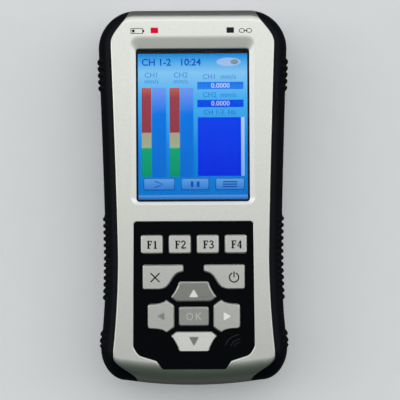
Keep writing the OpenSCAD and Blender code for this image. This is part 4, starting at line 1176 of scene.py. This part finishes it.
WINDOW_MIRROR = (0.0048, 0.0072)
WINDOW_ROUGH = 0.12
WINDOW_GRAIN = 40


def clear_sheet(name):
    """Clear sheet that only mirrors a little."""
    material, nodes = new_material(name)
    nodes.remove(nodes["Principled BSDF"])
    clear = nodes.new("ShaderNodeBsdfTransparent")
    mirror = put(nodes.new("ShaderNodeBsdfAnisotropic"), Roughness=WINDOW_ROUGH)
    noise = put(nodes.new("ShaderNodeTexNoise"), Scale=WINDOW_GRAIN)
    low, high = WINDOW_MIRROR
    reach = put(nodes.new("ShaderNodeMapRange"), To_Min=low, To_Max=high)
    wire(noise, "Fac", reach, "Value")
    mix = nodes.new("ShaderNodeMixShader")
    wire(reach, "Result", mix, "Fac")
    wire(clear, "BSDF", mix, 1)
    wire(mirror, "BSDF", mix, 2)
    wire(mix, "Shader", nodes["Material Output"], "Surface")
    return material


# Colour, roughness, metal, grain, spread of tone, strength and depth of relief
SURFACES = {
    "silver_paint": ((0.90, 0.91, 0.87), 0.33, 0.97, 2600, 0.06, 0.06, 0.02),
    "key_paint": ((0.755, 0.76, 0.735), 0.25, 0.98, 2600, 0.06, 0.06, 0.02),
    "charcoal_plastic": ((0.030, 0.031, 0.034), 0.62, 0.0, 1500, 0.15, 0.5, 0.06),
    "black_rubber": ((0.0018, 0.0028, 0.0055), 0.45, 0.0, 900, 0.15, 0.25, 0.04),
    "black_inlay": ((0.0016, 0.0026, 0.004), 0.42, 0.0, 900, 0.1, 0.06, 0.02),
    "display_glass": ((0.02, 0.03, 0.04), 0.15),
    "white_plastic": ((0.75, 0.75, 0.72), 0.5),
    "tray_metal": ((0.62, 0.63, 0.64), 0.35, 1.0),
    "amber_film": ((0.6, 0.28, 0.05), 0.35),
    "dark_lens": ((0.016, 0.02, 0.024), 0.3),
    "green_board": ((0.015, 0.13, 0.05), 0.4, 0.0, 300, 0.2),
    "screw_steel": ((0.55, 0.55, 0.56), 0.32, 1.0, 700, 0.1, 0.1),
    "black_resin": ((0.018, 0.018, 0.02), 0.45, 0.0, 700, 0.1, 0.1),
    "gold_contact": ((0.85, 0.6, 0.2), 0.25, 1.0),
    "brass_spacer": ((0.7, 0.5, 0.2), 0.3, 1.0),
    "grey_silicone": ((0.4, 0.41, 0.42), 0.6),
    "socket_metal": ((0.7, 0.7, 0.71), 0.22, 1.0, 700, 0.05, 0.05),
    "pack_wrap": ((0.02, 0.06, 0.24), 0.3),
    "black_foam": ((0.012, 0.012, 0.012), 0.85, 0.0, 1200, 0.3, 0.4),
}
PLAIN = (0.0, 1500, 0.06, 0.05, 0.02)
PAPER = (0.9, 0.0, 60, 0.01, 0.0, 0.01)
DULL = 0.1
SPECULAR = {"black_rubber": 0.11, "black_inlay": 0.04, "dark_lens": 0.1}
RED_LENS = [(0, (196, 8, 38)), (0.5, (226, 16, 54)), (1, (204, 10, 42))]
RED_LENS_X = (-21, -16)
LOOKS = {}


def make_look(slot):
    name = slot.replace("_", " ")
    if slot == "clear_window":
        return clear_sheet(name)
    if slot == "red_lens":
        return glow(name, RED_LENS, 0, *RED_LENS_X)
    sockets = {"Specular_IOR_Level": SPECULAR[slot]} if slot in SPECULAR else {}
    return surface(name, *SURFACES[slot], **sockets)


def look(slot):
    if slot not in LOOKS:
        LOOKS[slot] = make_look(slot)
    return LOOKS[slot]


# Colours of the picture from the foot of each piece (0) to its top (1)
PICTURE = {
    "field": [(0.0, (4, 112, 200)), (0.35, (12, 132, 226)), (0.7, (70, 174, 238)),
              (0.87, (130, 196, 242)), (0.94, (80, 170, 232)), (1.0, (0, 128, 208))],
    "red": [(0.0, (140, 56, 74)), (0.8, (150, 62, 76)), (1.0, (186, 92, 84))],
    "beige": [(0.0, (150, 172, 140)), (1.0, (168, 158, 136))],
    "green": [(0.0, (0, 142, 104)), (1.0, (10, 160, 116))],
    "column": [(0.0, (0, 104, 204)), (0.72, (0, 116, 226)), (1.0, (104, 150, 240))],
    "value_1": [(0.0, (40, 128, 236)), (1.0, (20, 116, 230))],
    "value_2": [(0.0, (0, 68, 226)), (1.0, (0, 78, 230))],
    "result": [(0.0, (0, 40, 222)), (1.0, (0, 62, 236))],
    "scroll": [(0.0, (120, 170, 240)), (1.0, (170, 205, 246))],
    "buttons": [(0.0, (40, 118, 205)), (1.0, (92, 158, 222))],
    "button_rims": [(0.0, (6, 52, 140)), (1.0, (20, 88, 176))],
    "status": [(0.0, (24, 92, 176)), (1.0, (86, 150, 212))],
    "oval": [(0.0, (160, 190, 238)), (1.0, (150, 186, 236))],
    "oval_mark": [(0.0, (120, 140, 150)), (1.0, (130, 150, 160))],
    "white_text": [(0.0, (190, 214, 250)), (1.0, (206, 226, 252))],
    "title_text": [(0.0, (16, 84, 196)), (1.0, (8, 74, 190))],
    "label_text": [(0.0, (20, 92, 196)), (0.5, (40, 116, 206)), (1.0, (64, 132, 212))],
    "icons": [(0.0, (10, 70, 160)), (1.0, (12, 76, 170))],
}


# Camera and stage

CAMERA_HEIGHT = 707.0
CAMERA_LENS = 123.57
SENSOR_W = 36
CAMERA_X = 3.3
CAMERA_Y = -1.3
CAMERA_ROLL = -0.306


def add_camera():
    data = bpy.data.cameras.new("overhead")
    data.lens = CAMERA_LENS
    data.sensor_width = SENSOR_W
    camera = link(bpy.data.objects.new("overhead", data))
    camera.location = (CAMERA_X * MM, CAMERA_Y * MM, CAMERA_HEIGHT * MM)
    camera.rotation_euler = (0, 0, math.radians(CAMERA_ROLL))
    bpy.context.scene.camera = camera


def add_lamp(name, place, size, energy, target):
    data = bpy.data.lights.new(name, "AREA")
    data.shape = "RECTANGLE"
    data.size, data.size_y = size
    data.energy = energy
    lamp = link(bpy.data.objects.new(name, data))
    lamp.location = place
    x, y, z = (t - p for t, p in zip(target, place))
    lamp.rotation_euler = (math.atan2(math.hypot(x, y), -z), 0, math.atan2(y, x) - math.pi / 2)


def paint(obj, material):
    obj.data.materials.clear()
    obj.data.materials.append(material)


REPLACED = []


def dress(obj, slot, body="case", node=None, own_look=None):
    """Gives a piece the look of its slot and its body, and hides the CAD node that it takes the place
    of.
    """
    paint(obj, own_look or look(slot))
    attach(obj, body)
    if node:
        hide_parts(node)
        REPLACED.append(node)


def dress_cad():
    """Materials of the CAD nodes that stay."""
    for row in frame["record"]["subparts"]:
        if row["node"] not in REPLACED:
            paint(frame["nodes"][row["node"]], look(row["material_slot"]))


def plain_look(name, color, rough):
    return surface(name, color, rough, *PLAIN, Specular_IOR_Level=DULL)


def paper_look():
    """Pale paper that keeps the shadow, a little brighter where it is looked at directly, and painted
    dark where it is seen in reflections: a painted dark reflection on the case and keys.
    """
    material = surface("paper", FLOOR_COLOR, *PAPER, Specular_IOR_Level=DULL)
    nodes = material.node_tree.nodes
    path = nodes.new("ShaderNodeLightPath")
    lift = nodes.new("ShaderNodeMath")
    lift.operation = "MULTIPLY"
    lift.inputs[1].default_value = FLOOR_LIFT
    wire(path, "Is Camera Ray", lift, 0)
    bsdf = put(nodes["Principled BSDF"], Emission_Color=FLOOR_GLOW)
    shade = nodes.new("ShaderNodeMix")
    shade.data_type = "RGBA"
    ramp = bsdf.inputs["Base Color"].links[0].from_node
    # In reflections the paper is painted a tenth as bright: painted dark reflection on the silver,
    # keys and grips
    wire(path, "Is Glossy Ray", shade, "Factor")
    wire(ramp, "Color", shade, 6)
    shade.inputs[7].default_value = tuple(c * FLOOR_REFLECTION_SHADE for c in FLOOR_COLOR) + (1.0,)
    wire(shade, 2, bsdf, "Base Color")
    wire(lift, "Value", bsdf, "Emission Strength")
    return material


def add_room():
    """Bright overhead and towards the top end, dark where the onlooker stands."""
    world = bpy.data.worlds.new("room")
    bpy.context.scene.world = world
    world.use_nodes = True
    nodes = world.node_tree.nodes
    place = nodes.new("ShaderNodeTexCoord")
    split = nodes.new("ShaderNodeSeparateXYZ")
    wire(place, "Generated", split, "Vector")
    reach = put(nodes.new("ShaderNodeMapRange"), From_Min=-1.0)
    wire(split, "Y", reach, "Value")
    ramp = ramp_node(nodes, [((direction + 1) / 2, color) for direction, color in ROOM])
    wire(reach, "Result", ramp, "Fac")
    path = nodes.new("ShaderNodeLightPath")
    mix = nodes.new("ShaderNodeMix")
    mix.data_type = "RGBA"
    wire(path, "Is Camera Ray", mix, "Factor")
    wire(ramp, "Color", mix, 6)
    mix.inputs[7].default_value = BACKDROP_COLOR
    background = put(nodes["Background"], Strength=ROOM_STRENGTH)
    wire(mix, 2, background, "Color")


def add_stage():
    floor = block(-FLOOR_HALF, FLOOR_HALF, -FLOOR_HALF, FLOOR_HALF, -FLOOR_T, 0, "floor")
    floor.data.materials.append(paper_look())
    add_room()
    x, y, z = STRIP_PLACE
    for side in (-1, 1):
        add_lamp("side strip", (side * x, y, z), STRIP_SIZE, STRIP_POWERS[side], (0, y, 0))


# Brightness of the room from the lower end's side (-1) to the top end's side (1)
ROOM = ((-1.0, (0.02, 0.035, 0.025)), (-0.6, (0.03, 0.05, 0.035)),
        (-0.34, (0.15, 0.16, 0.15)), (-0.15, (0.27, 0.28, 0.27)),
        (-0.04, (0.54, 0.55, 0.54)), (0.1, (1.0, 1.0, 0.985)), (0.45, (1.0, 1.0, 1.0)),
        (0.75, (0.78, 0.79, 0.78)), (1.0, (0.66, 0.67, 0.67)))
FLOOR_COLOR = (0.84, 0.85, 0.87)
FLOOR_GLOW = (0.94, 0.98, 1.0, 1.0)
FLOOR_HALF = 900
FLOOR_T = 2
FLOOR_LIFT = 0.155
STRIP_PLACE = (1.2, 0.1, 0.42)
STRIP_SIZE = (0.3, 1.5)
STRIP_POWERS = {-1: 1.3, 1: 0.8}
# How bright the floor is painted in reflections: a painted dark reflection on the case and keys
FLOOR_REFLECTION_SHADE = 0.1
ROOM_STRENGTH = 1.05
BACKDROP_COLOR = (0.62, 0.65, 0.67, 1.0)

add_camera()
add_stage()
bpy.context.scene.view_settings.view_transform = "Standard"

dress(make_front_shell(), "silver_paint", "case", "front_shell")
dress(make_rear_shell(), "charcoal_plastic", "case", "rear_shell")
dress(make_grip("grip_left_rubber", -1), "black_rubber", "case", "side_grip_left")
dress(make_grip("grip_right_rubber", 1), "black_rubber", "case", "side_grip_right")
dress(make_keypad_panel(), "black_inlay", "case", "keypad_panel")

legend_look = plain_look("legend ink", (0.006, 0.006, 0.008), 0.5)
mark_look = plain_look("faint mark ink", (0.035, 0.038, 0.042), 0.5)
mask_look = plain_look("display mask", (0.003, 0.004, 0.006), 0.4)
for key_name in KEYS:
    key = make_key(key_name)
    if key_name in TRIANGLES:
        engrave_triangle(key, key_name)
    if key_name == "ok":
        engrave_ok(key)
    smooth(key, KEY_ANGLE)
    node = "key_" + key_name
    dress(key, "key_paint", node, node)
    if key_name not in TRIANGLES and key_name != "ok":
        dress(print_on_flat_key(key_name), "black_resin", node, own_look=legend_look)
dress(make_lamp_icons(), "black_resin", own_look=legend_look)
dress(make_wave_mark(), "black_inlay", own_look=mark_look)

for part_name, parts in picture_parts().items():
    part = merged("picture_" + part_name, parts)
    if part_name == "mask":
        part_look = mask_look
    else:
        ys = [v.co.y / MM for v in part.data.vertices]
        part_look = glow("picture " + part_name, PICTURE[part_name], 1, min(ys), max(ys),
                         0.0 if part_name == "field" else RIPPLE)
    dress(part, "display_glass", own_look=part_look)

dress_cad()
